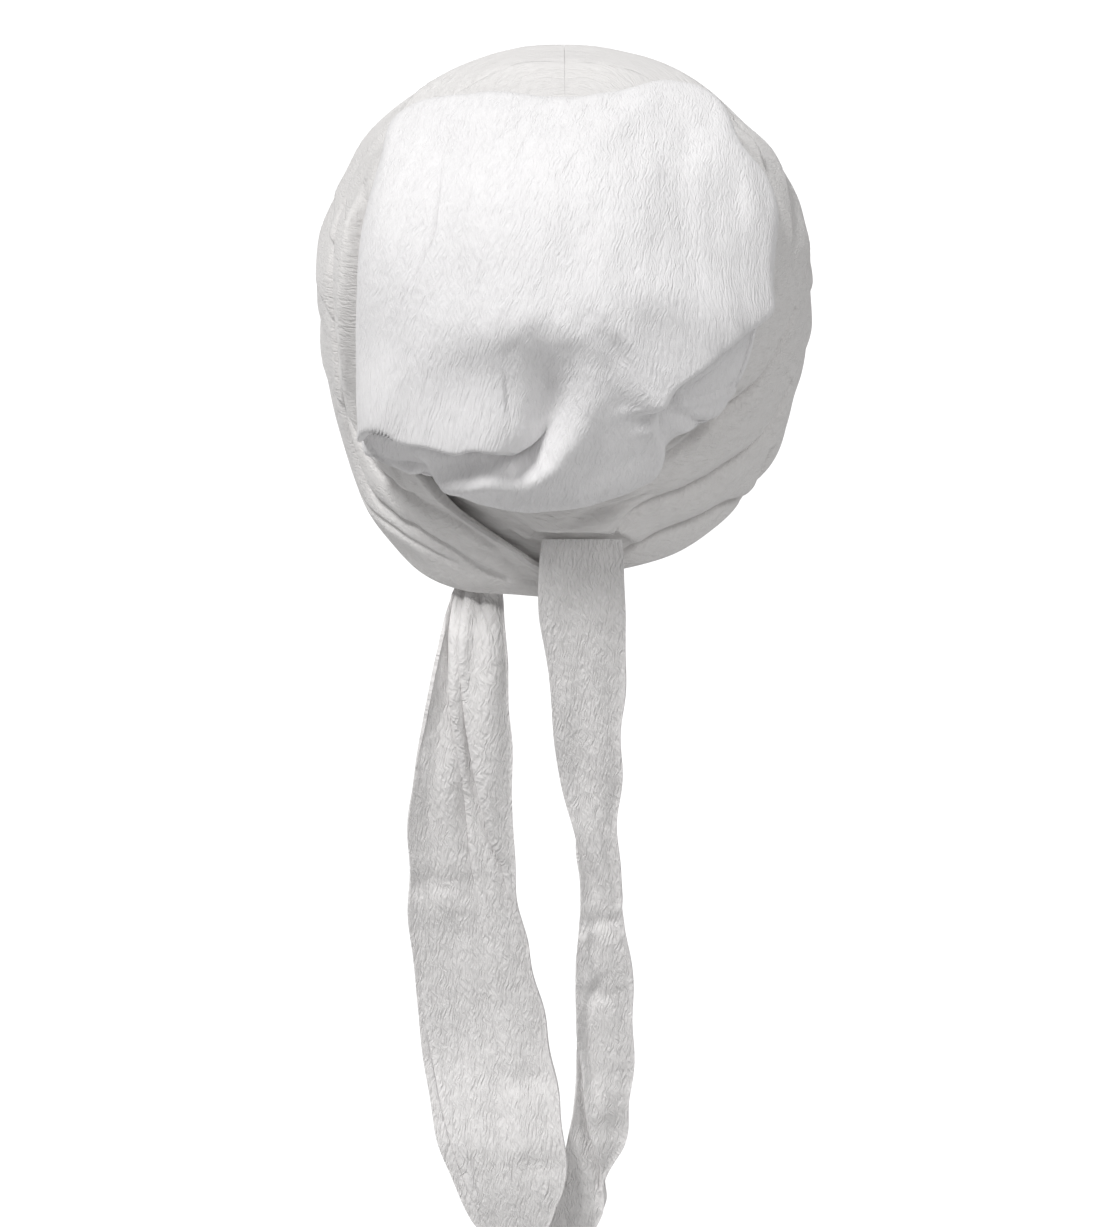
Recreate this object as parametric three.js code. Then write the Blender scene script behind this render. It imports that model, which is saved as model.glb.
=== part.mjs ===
// Turban hat: a slouched bag crown, two pleated wraps tied in a half knot at the nape, two hanging tails.
// Millimetres, +Z up, +Y to the face side, +X to the wearer's right; origin in the middle of the head opening.
import * as THREE from "three";
import { LoftGeometry } from "three/addons/geometries/LoftGeometry.js";

// Form the cloth is draped on: half widths of an egg about the origin.
const FORM = { side: 82, back: 100, up: 76, down: 145 };
// The bag hangs to the back: its polar axis points backwards and this far up.
const BAG_TILT = THREE.MathUtils.degToRad(13);
const MM_PER_DEGREE = 2.1;

// Crown bag.
const CROWN_WALL = 1.5;
const CROWN_ROUND = 50;
const ROWS_BY_KNOT = [1, 1, 1, 1, 2, 1, 2, 2, 2, 3, 5, 4];
const POLE_THETA = 0.9;
const HEM_HEIGHT = 2.4;
const HEM_DEPTH = 6;
const HEM_RUN = 1;
const OVER_WRAP = 1;
// Where the bag turns round the upper edge of the wraps: degrees inside that edge, mm off the hem.
const TURN = { start: 2.6, middle: 3, end: 0.6, rise: 1.6, clear: 0.9 };
// The part that lies on the wraps and its rolled outline: share or degrees in, mm above the wraps.
const LYING = { share: 0.55, rise: 0.6, inner: 1.6, innerRise: 0.8 };
const ROLL = { middle: 0.45, top: 2.4, shoulder: 9, shoulderRise: 1 };
const DOME_ROWS = [0.66, 0.33];

// Wraps.
const WRAP_STATIONS = 31;
const EDGE_ROUND = 0.07;
const EDGE_FINE = 0.02;
const EDGE_RISE = { face: 1.6, back: 1 };
const CREASE_SPREAD = 1.4;
const CREASE_SHARE = 0.4;
const THINNEST = 1.8;

// Tails.
const TAIL_STATIONS = 30;
const TAIL_WIDE = 7;
const TAIL_EDGE = 0.35;

const COLOURS = { crown: 0xe9e8ea, wrap: 0xcfcbc9, tail: 0xd2cfcd };
const ROUGHNESS = 0.92;

// Outline of the bag as a row per direction of the clock seen from behind, 0 up and 90 to the right:
// theta is the angle from the bag's axis, droop how far it hangs over the wraps (degrees),
// belly the thickness of its rolled edge and lie the height of the wraps it lies on (mm).
const BAG_OUTLINE = [
  { clock: 0, theta: 39, droop: 6, belly: 5.5, lie: 9.8 },
  { clock: 18, theta: 44, droop: 6, belly: 5.5, lie: 11 },
  { clock: 30, theta: 55, droop: 6, belly: 6, lie: 12.2 },
  { clock: 43, theta: 57, droop: 7, belly: 6.5, lie: 13.4 },
  { clock: 54, theta: 50, droop: 6, belly: 7, lie: 13.6 },
  { clock: 69, theta: 51, droop: 7, belly: 7.5, lie: 13.6 },
  { clock: 86, theta: 45.5, droop: 7, belly: 8, lie: 13.3 },
  { clock: 105, theta: 43.5, droop: 8, belly: 8, lie: 12.7 },
  { clock: 120, theta: 44.5, droop: 9, belly: 7, lie: 12.3 },
  { clock: 134, theta: 44, droop: 9, belly: 7, lie: 12.1 },
  { clock: 147, theta: 39.5, droop: 9, belly: 8, lie: 11.8 },
  { clock: 158, theta: 42.8, droop: 13, belly: 10, lie: 11.4 },
  { clock: 172, theta: 43.5, droop: 15, belly: 11, lie: 11 },
  { clock: 186, theta: 45.2, droop: 16, belly: 11, lie: 10.6 },
  { clock: 200, theta: 48, droop: 16, belly: 10, lie: 10.4 },
  { clock: 213, theta: 51, droop: 14, belly: 7.5, lie: 12.8 },
  { clock: 223, theta: 57.5, droop: 14, belly: 6.5, lie: 16.4 },
  { clock: 229, theta: 60.5, droop: 14, belly: 6.5, lie: 16.6 },
  { clock: 237, theta: 51.5, droop: 9, belly: 7, lie: 16.6 },
  { clock: 250, theta: 46, droop: 7, belly: 8, lie: 16.4 },
  { clock: 265, theta: 45, droop: 7, belly: 8, lie: 16 },
  { clock: 284, theta: 47, droop: 7, belly: 7.5, lie: 15.4 },
  { clock: 300, theta: 52, droop: 7, belly: 6.5, lie: 14.4 },
  { clock: 313, theta: 57, droop: 7, belly: 6, lie: 13.2 },
  { clock: 333, theta: 47, droop: 6, belly: 5.5, lie: 11.6 },
];

// Dome of the bag above the form (mm), a row per angle from its axis, behind and at the top.
const BAG_DOME = [
  { theta: 0, back: 26, top: 26 },
  { theta: 15, back: 26, top: 24 },
  { theta: 30, back: 24.5, top: 18 },
  { theta: 45, back: 22, top: 14.5 },
  { theta: 65, back: 20, top: 13 },
];

// Folds of the bag, a row per fold. The line runs through (clock, theta) points. A step lifts the
// cloth by rise on its left and sinks it by dip on its right, and leans the lifted cloth over the
// sunk one; a ridge lifts both sides (a valley has a negative rise). fade is 1 where an end dies out.
const BAG_FOLDS = [
  {
    name: "left_flap", kind: "step", rise: 5, dip: 5, lean: 3, reach: 13, start: 1, end: 1,
    line: [[229, 60], [227, 48], [226, 42.5], [218, 38.5], [210, 34], [200, 31], [193, 33], [186, 34]],
  },
  {
    name: "right_flap", kind: "step", rise: 3.5, dip: 5.5, lean: 2.5, reach: 14, start: 1, end: 1,
    line: [[150, 25], [142, 27], [131, 28.5], [119, 32.5], [106, 43.5]],
  },
  {
    name: "valley", kind: "ridge", rise: -6, dip: 0, lean: 0, reach: 8, start: 0, end: 1,
    line: [[184, 35], [183, 30], [182, 23.5], [185, 17], [196, 12]],
  },
  {
    name: "soft_dent", kind: "ridge", rise: -2.5, dip: 0, lean: 0, reach: 9, start: 1, end: 1,
    line: [[150, 10], [121, 14], [107, 20]],
  },
  {
    name: "right_ridge", kind: "ridge", rise: 4, dip: 0, lean: 0, reach: 8, start: 1, end: 1,
    line: [[140, 8], [136, 14.5], [141, 21.5], [147, 27]],
  },
  {
    name: "lobe_swell", kind: "ridge", rise: 4, dip: 0, lean: 0, reach: 12, start: 1, end: 1,
    line: [[152, 32], [165, 34], [182, 39], [200, 41], [212, 44]],
  },
  {
    name: "long_crease", kind: "ridge", rise: 1.2, dip: 0, lean: 0, reach: 4, start: 1, end: 1,
    line: [[303, 30], [288, 29], [268, 28], [255, 30.5], [245, 35]],
  },
  {
    name: "left_groove", kind: "ridge", rise: -3, dip: 0, lean: 0, reach: 7, start: 1, end: 1,
    line: [[286, 42], [265, 40], [250, 42], [240, 47]],
  },
];

// Wraps from the seam at the front (along 0) to the nape (along 1), a row per station:
// the rim by its azimuth from the back and elevation, the upper edge by the clock and theta of the
// bag, then how far the inner and outer faces stand off the form (mm).
const RIGHT_STATIONS = [
  { along: 0, azimuth: 179.8, elevation: -10, clock: 0.3, theta: 33, under: 3.6, over: 9 },
  { along: 0.11, azimuth: 150, elevation: -13, clock: 13, theta: 36.5, under: 3.6, over: 10 },
  { along: 0.258, azimuth: 120, elevation: -22, clock: 27, theta: 47, under: 3.6, over: 11.5 },
  { along: 0.414, azimuth: 92, elevation: -33, clock: 46, theta: 48.5, under: 3.6, over: 13 },
  { along: 0.552, azimuth: 67, elevation: -41, clock: 76, theta: 41.5, under: 3.6, over: 13 },
  { along: 0.662, azimuth: 48, elevation: -46, clock: 105, theta: 35.5, under: 3.6, over: 12 },
  { along: 0.754, azimuth: 30, elevation: -48.6, clock: 130, theta: 34.5, under: 3.6, over: 11.5 },
  { along: 0.828, azimuth: 14, elevation: -49.4, clock: 153, theta: 29, under: 3.6, over: 11 },
  { along: 0.883, azimuth: -3, elevation: -49.4, clock: 180, theta: 29, under: 4.6, over: 9.8 },
  { along: 0.94, azimuth: -22, elevation: -47.5, clock: 203, theta: 38.5, under: 4.4, over: 8.6 },
  { along: 1, azimuth: -44, elevation: -45, clock: 222, theta: 46, under: 4, over: 7.2 },
];
const LEFT_STATIONS = [
  { along: 0, azimuth: -179.8, elevation: -10, clock: 359.7, theta: 33, under: 3.6, over: 9 },
  { along: 0.12, azimuth: -150, elevation: -14, clock: 345, theta: 37.5, under: 3.6, over: 10 },
  { along: 0.28, azimuth: -120, elevation: -27, clock: 324, theta: 47, under: 3.6, over: 11.5 },
  { along: 0.36, azimuth: -107, elevation: -34.5, clock: 313, theta: 49.6, under: 3.6, over: 12.6 },
  { along: 0.45, azimuth: -94, elevation: -42, clock: 302, theta: 46.4, under: 3.6, over: 13.5 },
  { along: 0.58, azimuth: -72, elevation: -50, clock: 272, theta: 38.5, under: 5.6, over: 15 },
  { along: 0.68, azimuth: -55, elevation: -53.5, clock: 245, theta: 42, under: 8, over: 15.8 },
  { along: 0.77, azimuth: -41, elevation: -54.5, clock: 225, theta: 51, under: 9, over: 15.8 },
  { along: 0.86, azimuth: -27, elevation: -53.6, clock: 206, theta: 54, under: 10, over: 15.5 },
  { along: 0.94, azimuth: -12, elevation: -51.8, clock: 192, theta: 55.5, under: 10.6, over: 15 },
  { along: 1, azimuth: 5, elevation: -51.8, clock: 182, theta: 59.5, under: 10.8, over: 14 },
];

// Creases between the folds of each wrap: the height of the crease between rim (0) and upper edge (1);
// flap is how far the fold above the middle crease stands out over the one below it (mm).
const RIGHT_CREASES = [
  { along: 0, low: 0.3, middle: 0.55, high: 0.8, flap: 0 },
  { along: 0.414, low: 0.6, middle: 0.78, high: 0.9, flap: 0 },
  { along: 0.552, low: 0.64, middle: 0.82, high: 0.93, flap: 0 },
  { along: 0.662, low: 0.46, middle: 0.68, high: 0.85, flap: 0 },
  { along: 0.764, low: 0.3, middle: 0.54, high: 0.75, flap: 0 },
  { along: 0.828, low: 0.17, middle: 0.33, high: 0.6, flap: 3.5 },
  { along: 0.865, low: 0.16, middle: 0.31, high: 0.6, flap: 3.5 },
  { along: 0.888, low: 0.15, middle: 0.3, high: 0.6, flap: 0 },
  { along: 1, low: 0.14, middle: 0.3, high: 0.6, flap: 0 },
];
const LEFT_CREASES = [
  { along: 0, low: 0.28, middle: 0.52, high: 0.78, flap: 0 },
  { along: 0.45, low: 0.3, middle: 0.55, high: 0.75, flap: 0 },
  { along: 0.6, low: 0.34, middle: 0.6, high: 0.8, flap: 0 },
  { along: 0.77, low: 0.36, middle: 0.62, high: 0.84, flap: 0 },
  { along: 0.9, low: 0.3, middle: 0.6, high: 0.88, flap: 0 },
  { along: 1, low: 0.3, middle: 0.6, high: 0.88, flap: 0 },
];
const CREASE_DEPTH = 2.6;
const CREASE_HALF = 0.04;
const FOLD_STEP = 1.5;
const FLAP_RISE = 0.04;
const FLAP_REACH = 0.17;

// Tails, a row per height: the left and right edges in x, the depth y of the middle, and the
// depth of the lengthwise folds; turn is how much further in the left edge lies (mm).
const RIGHT_TAIL = [
  { z: -80.5, left: -8.4, right: 20.6, y: -94.1, fold: 0.2, turn: 0 },
  { z: -88, left: -8.9, right: 21.4, y: -96.4, fold: 0.3, turn: 0 },
  { z: -97, left: -9, right: 22, y: -96.6, fold: 0.4, turn: 0 },
  { z: -112, left: -8.7, right: 22.6, y: -96.8, fold: 0.6, turn: 0 },
  { z: -140, left: -5, right: 22.2, y: -97, fold: 1.2, turn: 0 },
  { z: -163, left: -2.8, right: 21.2, y: -97, fold: 1.6, turn: 0 },
  { z: -180, left: -0.4, right: 20.9, y: -97, fold: 1.6, turn: 0 },
  { z: -200, left: 4.6, right: 20.2, y: -97.5, fold: 1.2, turn: 0 },
  { z: -220, left: 6, right: 21.6, y: -97.5, fold: 1.2, turn: 0 },
  { z: -250, left: 4.4, right: 25, y: -98, fold: 1.6, turn: 0 },
  { z: -282, left: 4.8, right: 26.5, y: -98.5, fold: 1.6, turn: 0 },
  { z: -304, left: 4.6, right: 26.2, y: -99, fold: 1.4, turn: 0 },
  { z: -325, left: 1.2, right: 23.8, y: -98, fold: 1, turn: 0 },
  { z: -342, left: -4.6, right: 17.2, y: -97.5, fold: 0.6, turn: 0 },
  { z: -358, left: -11, right: 14, y: -97.5, fold: 0.4, turn: 0 },
  { z: -376, left: -15, right: 3, y: -97.5, fold: 0.2, turn: 0 },
  { z: -388, left: -16, right: -13, y: -97.5, fold: 0, turn: 0 },
];
const LEFT_TAIL = [
  { z: -99, left: -36, right: -25, y: -71.2, fold: 0.4, turn: 5 },
  { z: -105, left: -39, right: -24, y: -67.1, fold: 0.8, turn: 5 },
  { z: -111, left: -42, right: -23, y: -67, fold: 2, turn: 4.5 },
  { z: -117, left: -45.4, right: -22.2, y: -72.5, fold: 2.8, turn: 3 },
  { z: -125, left: -48.2, right: -21.3, y: -78, fold: 3.2, turn: 1.5 },
  { z: -147, left: -52.4, right: -20.2, y: -83, fold: 3.4, turn: 0 },
  { z: -171, left: -56.4, right: -19.2, y: -84.5, fold: 3, turn: 0 },
  { z: -195, left: -59.2, right: -18.4, y: -85, fold: 2.4, turn: 0 },
  { z: -220, left: -60.2, right: -17.6, y: -85.5, fold: 2, turn: 0 },
  { z: -245, left: -58.8, right: -14.2, y: -86, fold: 1.6, turn: 0 },
  { z: -270, left: -57, right: -9, y: -87.5, fold: 1.4, turn: 0 },
  { z: -292, left: -54.2, right: -4.6, y: -91, fold: 1.2, turn: 0 },
  { z: -310, left: -51, right: -1.4, y: -97, fold: 1, turn: 0 },
  { z: -325, left: -47.8, right: 0.5, y: -102.5, fold: 0.8, turn: 0 },
  { z: -343, left: -41.4, right: 0, y: -104, fold: 0.6, turn: 0 },
  { z: -358, left: -33.6, right: -6, y: -104, fold: 0.4, turn: 0 },
  { z: -370, left: -26, right: -11.4, y: -104, fold: 0.2, turn: 0 },
  { z: -383, left: -20, right: -17.5, y: -104, fold: 0, turn: 0 },
];
const TAIL_WALL = { left_tail: 2.4, right_tail: 2.8 };
const TAIL_FOLDS = { left_tail: 2.5, right_tail: 1.5 };

const { clamp, degToRad, lerp, smoothstep } = THREE.MathUtils;

// Value of a table's column at a place of its key column: a smooth curve through the rows.
function column(table, key, name, at) {
  const last = table.length - 1;
  const rising = table[last][key] > table[0][key];
  const x = rising ? clamp(at, table[0][key], table[last][key]) : clamp(at, table[last][key], table[0][key]);
  let i = 0;
  while (i < last - 1 && (rising ? x > table[i + 1][key] : x < table[i + 1][key])) i += 1;
  const slope = (k) => {
    const a = table[Math.max(k - 1, 0)];
    const b = table[Math.min(k + 1, last)];
    return (b[name] - a[name]) / (b[key] - a[key]);
  };
  const from = table[i];
  const to = table[i + 1];
  const gap = to[key] - from[key];
  const t = (x - from[key]) / gap;
  const t2 = t * t;
  const t3 = t2 * t;
  return (
    (2 * t3 - 3 * t2 + 1) * from[name] + (t3 - 2 * t2 + t) * gap * slope(i) +
    (3 * t2 - 2 * t3) * to[name] + (t3 - t2) * gap * slope(i + 1)
  );
}

// The bag's outline with its ends joined, so that the clock runs on past 0 and 360.
const CLOSED_OUTLINE = [
  ...BAG_OUTLINE.slice(-2).map((row) => ({ ...row, clock: row.clock - 360 })),
  ...BAG_OUTLINE,
  ...BAG_OUTLINE.slice(0, 2).map((row) => ({ ...row, clock: row.clock + 360 })),
];
const outline = (name, clock) => column(CLOSED_OUTLINE, "clock", name, clock);

// Directions: by clock and angle from the bag's axis, and by azimuth from the back and elevation.
function bagDirection(clock, theta) {
  const out = Math.cos(degToRad(theta));
  const up = Math.sin(degToRad(theta)) * Math.cos(degToRad(clock));
  const right = Math.sin(degToRad(theta)) * Math.sin(degToRad(clock));
  return new THREE.Vector3(
    right,
    up * Math.sin(BAG_TILT) - out * Math.cos(BAG_TILT),
    out * Math.sin(BAG_TILT) + up * Math.cos(BAG_TILT),
  );
}
function backDirection(azimuth, elevation) {
  const flat = Math.cos(degToRad(elevation));
  return new THREE.Vector3(
    flat * Math.sin(degToRad(azimuth)),
    -flat * Math.cos(degToRad(azimuth)),
    Math.sin(degToRad(elevation)),
  );
}

// Point in a direction, a height above the form.
function onForm(direction, height) {
  const down = direction.z > 0 ? FORM.up : FORM.down;
  const radius = 1 / Math.hypot(direction.x / FORM.side, direction.y / FORM.back, direction.z / down);
  return direction.clone().multiplyScalar(radius + height);
}

// Fold lines as flat curves on the map of the bag (mm to the right and up from its axis).
const onMap = (clock, theta) => new THREE.Vector2(
  theta * MM_PER_DEGREE * Math.sin(degToRad(clock)),
  theta * MM_PER_DEGREE * Math.cos(degToRad(clock)),
);
const SAMPLES_PER_FOLD = 24;
const FADE_START = 0.22;
const FADE_END = 0.78;
const FOLDS = BAG_FOLDS.map((fold) => ({
  ...fold,
  points: new THREE.SplineCurve(fold.line.map((at) => onMap(...at))).getPoints(SAMPLES_PER_FOLD),
}));

// Nearest place of a fold line: signed distance (left of the line is positive), normal and fade.
function nearest(fold, at) {
  let best = { gap: Infinity };
  for (let i = 0; i < fold.points.length - 1; i += 1) {
    const step = fold.points[i + 1].clone().sub(fold.points[i]);
    const from = at.clone().sub(fold.points[i]);
    const t = clamp(from.dot(step) / step.lengthSq(), 0, 1);
    const gap = from.distanceTo(step.clone().multiplyScalar(t));
    if (gap < best.gap) best = { gap, step, from, place: (i + t) / (fold.points.length - 1) };
  }
  const side = Math.sign(best.step.cross(best.from)) || 1;
  const normal = new THREE.Vector2(-best.step.y, best.step.x).normalize();
  const fadeIn = fold.start ? smoothstep(best.place, 0, FADE_START) : 1;
  const fadeOut = fold.end ? 1 - smoothstep(best.place, FADE_END, 1) : 1;
  return { away: side * best.gap, normal, fade: fadeIn * fadeOut };
}

// Shift on the map and lift off the form that all folds give at a place of the map.
const STEP_HALF = 4.5;
function foldAt(at) {
  const shift = new THREE.Vector2();
  let lift = 0;
  for (const fold of FOLDS) {
    const { away, normal, fade } = nearest(fold, at);
    const bell = Math.exp(-((away / fold.reach) ** 2)) * fade;
    if (fold.kind === "ridge") {
      lift += fold.rise * bell;
    } else {
      const upper = smoothstep(away, -STEP_HALF, STEP_HALF);
      lift += bell * (fold.rise * upper - fold.dip * (1 - upper));
      shift.addScaledVector(normal, -fold.lean * upper * bell);
    }
  }
  return { shift, lift };
}

// Dome height of the bag at a clock and angle from its axis.
function domeHeight(clock, theta) {
  const top = (1 + Math.cos(degToRad(clock))) / 2;
  return lerp(column(BAG_DOME, "theta", "back", theta), column(BAG_DOME, "theta", "top", theta), top);
}

// Places of the rings along the profile, counted in knots: closer together where the folds are.
const ROW_PLACES = [0, ...ROWS_BY_KNOT.flatMap((rows, knot) => (
  Array.from({ length: rows }, (_, i) => knot + (i + 1) / rows)
))];

// Profile of the bag at one clock direction, from its hem under the wraps, over their edge,
// out to the rolled outline and back over the dome to the pole.
function bagProfile(clock) {
  const out = outline("theta", clock);
  const droop = outline("droop", clock);
  const belly = outline("belly", clock);
  const edge = out - droop;
  const lie = outline("lie", clock) + OVER_WRAP;
  const inner = out - ROLL.shoulder;
  const shoulder = Math.max(domeHeight(clock, inner), lie + belly + ROLL.shoulderRise);
  const knots = [
    [edge + HEM_DEPTH, HEM_HEIGHT],
    [edge + HEM_RUN, HEM_HEIGHT],
    [edge - TURN.start, HEM_HEIGHT + TURN.rise],
    [edge - TURN.middle, (HEM_HEIGHT + lie) / 2],
    [edge - TURN.end, lie + TURN.clear],
    [lerp(edge, out, LYING.share), lie + LYING.rise],
    [out - LYING.inner, lie + LYING.innerRise],
    [out, lie + belly * ROLL.middle],
    [out - ROLL.top, lie + belly],
    [inner, shoulder],
    ...DOME_ROWS.map((share) => [inner * share, domeHeight(clock, inner * share)]),
    [POLE_THETA, domeHeight(clock, 0)],
  ];
  const points = knots.map(([theta, height]) => new THREE.Vector3(theta * MM_PER_DEGREE, height, 0));
  const curve = new THREE.CatmullRomCurve3(points, false, "centripetal");
  return ROW_PLACES.map((place) => curve.getPoint(place / (knots.length - 1)));
}

// The folds act on the dome and fade out round the outline, where the bag turns under.
const FOLDS_FROM_KNOT = 5.4;
const FOLDS_FULL_KNOT = 7.6;

function crownRings() {
  const clocks = Array.from({ length: CROWN_ROUND }, (_, j) => ((CROWN_ROUND - j) * 360) / CROWN_ROUND);
  const profiles = clocks.map(bagProfile);
  const rows = profiles[0].length;
  const outer = [];
  for (let i = 0; i < rows; i += 1) {
    const act = smoothstep(ROW_PLACES[i], FOLDS_FROM_KNOT, FOLDS_FULL_KNOT);
    outer.push(profiles.map((profile, j) => {
      const at = onMap(clocks[j], profile[i].x / MM_PER_DEGREE);
      const { shift, lift } = foldAt(at);
      at.addScaledVector(shift, act);
      const theta = at.length() / MM_PER_DEGREE;
      const clock = THREE.MathUtils.radToDeg(Math.atan2(at.x, at.y));
      return onForm(bagDirection(clock, theta), profile[i].y + lift * act);
    }));
  }
  return outer;
}

// Rings moved inwards by a wall, along the normals of the surface they span.
function insideOf(rings, wall) {
  const round = rings[0].length;
  return rings.map((ring, i) => ring.map((point, j) => {
    const along = rings[Math.min(i + 1, rings.length - 1)][j].clone().sub(rings[Math.max(i - 1, 0)][j]);
    const across = ring[(j + 1) % round].clone().sub(ring[(j + round - 1) % round]);
    return point.clone().addScaledVector(along.cross(across).normalize(), wall);
  }));
}

// Closed skin over rings of equal length: walls between the rings and a fan over each end ring.
function skinGeometry(rings) {
  const round = rings[0].length;
  const middle = (ring) => ring.reduce((sum, point) => sum.add(point), new THREE.Vector3())
    .divideScalar(round);
  const start = rings.length * round;
  const points = [...rings.flat(), middle(rings[0]), middle(rings[rings.length - 1])];
  const faces = [];
  for (let j = 0; j < round; j += 1) {
    const next = (j + 1) % round;
    faces.push(start, next, j);
    for (let i = 0; i < rings.length - 1; i += 1) {
      const here = i * round;
      const above = here + round;
      faces.push(here + j, here + next, above + j);
      faces.push(here + next, above + next, above + j);
    }
    const lastRing = (rings.length - 1) * round;
    faces.push(start + 1, lastRing + j, lastRing + next);
  }
  const geometry = new THREE.BufferGeometry().setFromPoints(points);
  geometry.setIndex(faces);
  geometry.computeVertexNormals();
  return geometry;
}

function crownGeometry() {
  const outer = crownRings();
  const inner = insideOf(outer, CROWN_WALL);
  return skinGeometry([...inner.reverse(), ...outer]);
}

// Height of a wrap's outer face: rounded folds with narrow creases between, each fold a step
// higher than the one above it, and thin rounded edges.
function wrapSection(stations, creases, along) {
  const value = (name) => column(stations, "along", name, along);
  const rim = backDirection(value("azimuth"), value("elevation"));
  const edge = bagDirection(value("clock"), value("theta"));
  const angle = rim.angleTo(edge);
  const lines = ["low", "middle", "high"].map((name) => column(creases, "along", name, along));
  const flap = column(creases, "along", "flap", along);
  const under = value("under");
  const towards = (up) => rim.clone().multiplyScalar(Math.sin((1 - up) * angle))
    .addScaledVector(edge, Math.sin(up * angle)).divideScalar(Math.sin(angle));
  const over = (up) => {
    let height = value("over");
    for (const line of lines) {
      height -= CREASE_DEPTH * Math.exp(-(((up - line) / CREASE_HALF) ** 2));
      height -= FOLD_STEP * smoothstep(up, line - CREASE_HALF, line + CREASE_HALF) * (1 - up);
    }
    const past = up - lines[1];
    height += flap * smoothstep(past, 0, FLAP_RISE) * (1 - smoothstep(past, FLAP_RISE, FLAP_REACH));
    return Math.max(height, under + THINNEST);
  };
  const face = [];
  const back = [];
  const marks = sectionMarks(lines);
  for (const up of marks) {
    const end = Math.min(up, 1 - up) / EDGE_ROUND;
    const round = end < 1 ? Math.sqrt(1 - (1 - end) ** 2) : 1;
    face.push(onForm(towards(up), lerp(under + EDGE_RISE.face, over(up), round)));
    back.push(onForm(towards(up), lerp(under + EDGE_RISE.back, under, round)));
  }
  return [...face, ...back.reverse()];
}

// Places across a wrap: closer together at the creases and the two edges.
function sectionMarks(lines) {
  const marks = [0, EDGE_FINE, EDGE_ROUND];
  const stops = [EDGE_ROUND, ...lines, 1 - EDGE_ROUND];
  for (let i = 0; i < stops.length - 1; i += 1) {
    const from = stops[i];
    const gap = stops[i + 1] - from;
    const beside = Math.min(CREASE_HALF * CREASE_SPREAD, gap * CREASE_SHARE);
    if (i > 0) marks.push(from + beside);
    marks.push(from + gap / 2);
    if (i < lines.length) marks.push(from + gap - beside, from + gap);
  }
  return [...marks, 1 - EDGE_ROUND, 1 - EDGE_FINE, 1];
}

function wrapGeometry(stations, creases, turn) {
  const sections = [];
  for (let i = 0; i <= WRAP_STATIONS; i += 1) {
    const section = wrapSection(stations, creases, i / WRAP_STATIONS);
    sections.push(turn ? section.reverse() : section);
  }
  return new LoftGeometry(sections, { capStart: true, capEnd: true });
}

// A hanging tail: a strap with soft lengthwise folds, its edges and depth read from its table.
function tailGeometry(table, wall, folds) {
  const sections = [];
  const top = table[0].z;
  const end = table[table.length - 1].z;
  for (let i = 0; i <= TAIL_STATIONS; i += 1) {
    const z = lerp(top, end, i / TAIL_STATIONS);
    const value = (name) => column(table, "z", name, z);
    const face = [];
    const back = [];
    for (let j = 0; j <= TAIL_WIDE; j += 1) {
      const across = j / TAIL_WIDE;
      const x = lerp(value("left"), value("right"), across);
      const wave = value("fold") * Math.cos(2 * Math.PI * folds * across);
      const bow = Math.sqrt(1 - (2 * across - 1) ** 2);
      const half = (wall / 2) * Math.max(bow, TAIL_EDGE);
      const y = value("y") + value("turn") * (1 - 2 * across) - wave;
      face.push(new THREE.Vector3(x, y - half, z));
      back.push(new THREE.Vector3(x, y + half, z));
    }
    sections.push([...face.reverse(), ...back]);
  }
  return new LoftGeometry(sections, { capStart: true, capEnd: true });
}

function cloth(name, geometry, color) {
  const material = new THREE.MeshStandardMaterial({ color, roughness: ROUGHNESS, metalness: 0 });
  const mesh = new THREE.Mesh(geometry, material);
  mesh.name = name;
  return mesh;
}

const hat = new THREE.Group();
hat.add(
  cloth("crown", crownGeometry(), COLOURS.crown),
  cloth("right_wrap", wrapGeometry(RIGHT_STATIONS, RIGHT_CREASES, false), COLOURS.wrap),
  cloth("left_wrap", wrapGeometry(LEFT_STATIONS, LEFT_CREASES, true), COLOURS.wrap),
  cloth("right_tail", tailGeometry(RIGHT_TAIL, TAIL_WALL.right_tail, TAIL_FOLDS.right_tail), COLOURS.tail),
  cloth("left_tail", tailGeometry(LEFT_TAIL, TAIL_WALL.left_tail, TAIL_FOLDS.left_tail), COLOURS.tail),
);

export default hat;
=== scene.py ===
"""Turban hat of crinkled cloth: slouched bag crown, pleated wraps knotted at the nape, two tails.

Every length is in millimetres until a mesh is written, and the frame is that of the CAD model:
+Z up, +Y to the face side, +X to the wearer's right, origin in the middle of the head opening.
"""
import logging
import math
from collections.abc import Sequence
from dataclasses import dataclass
from enum import Enum

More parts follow.
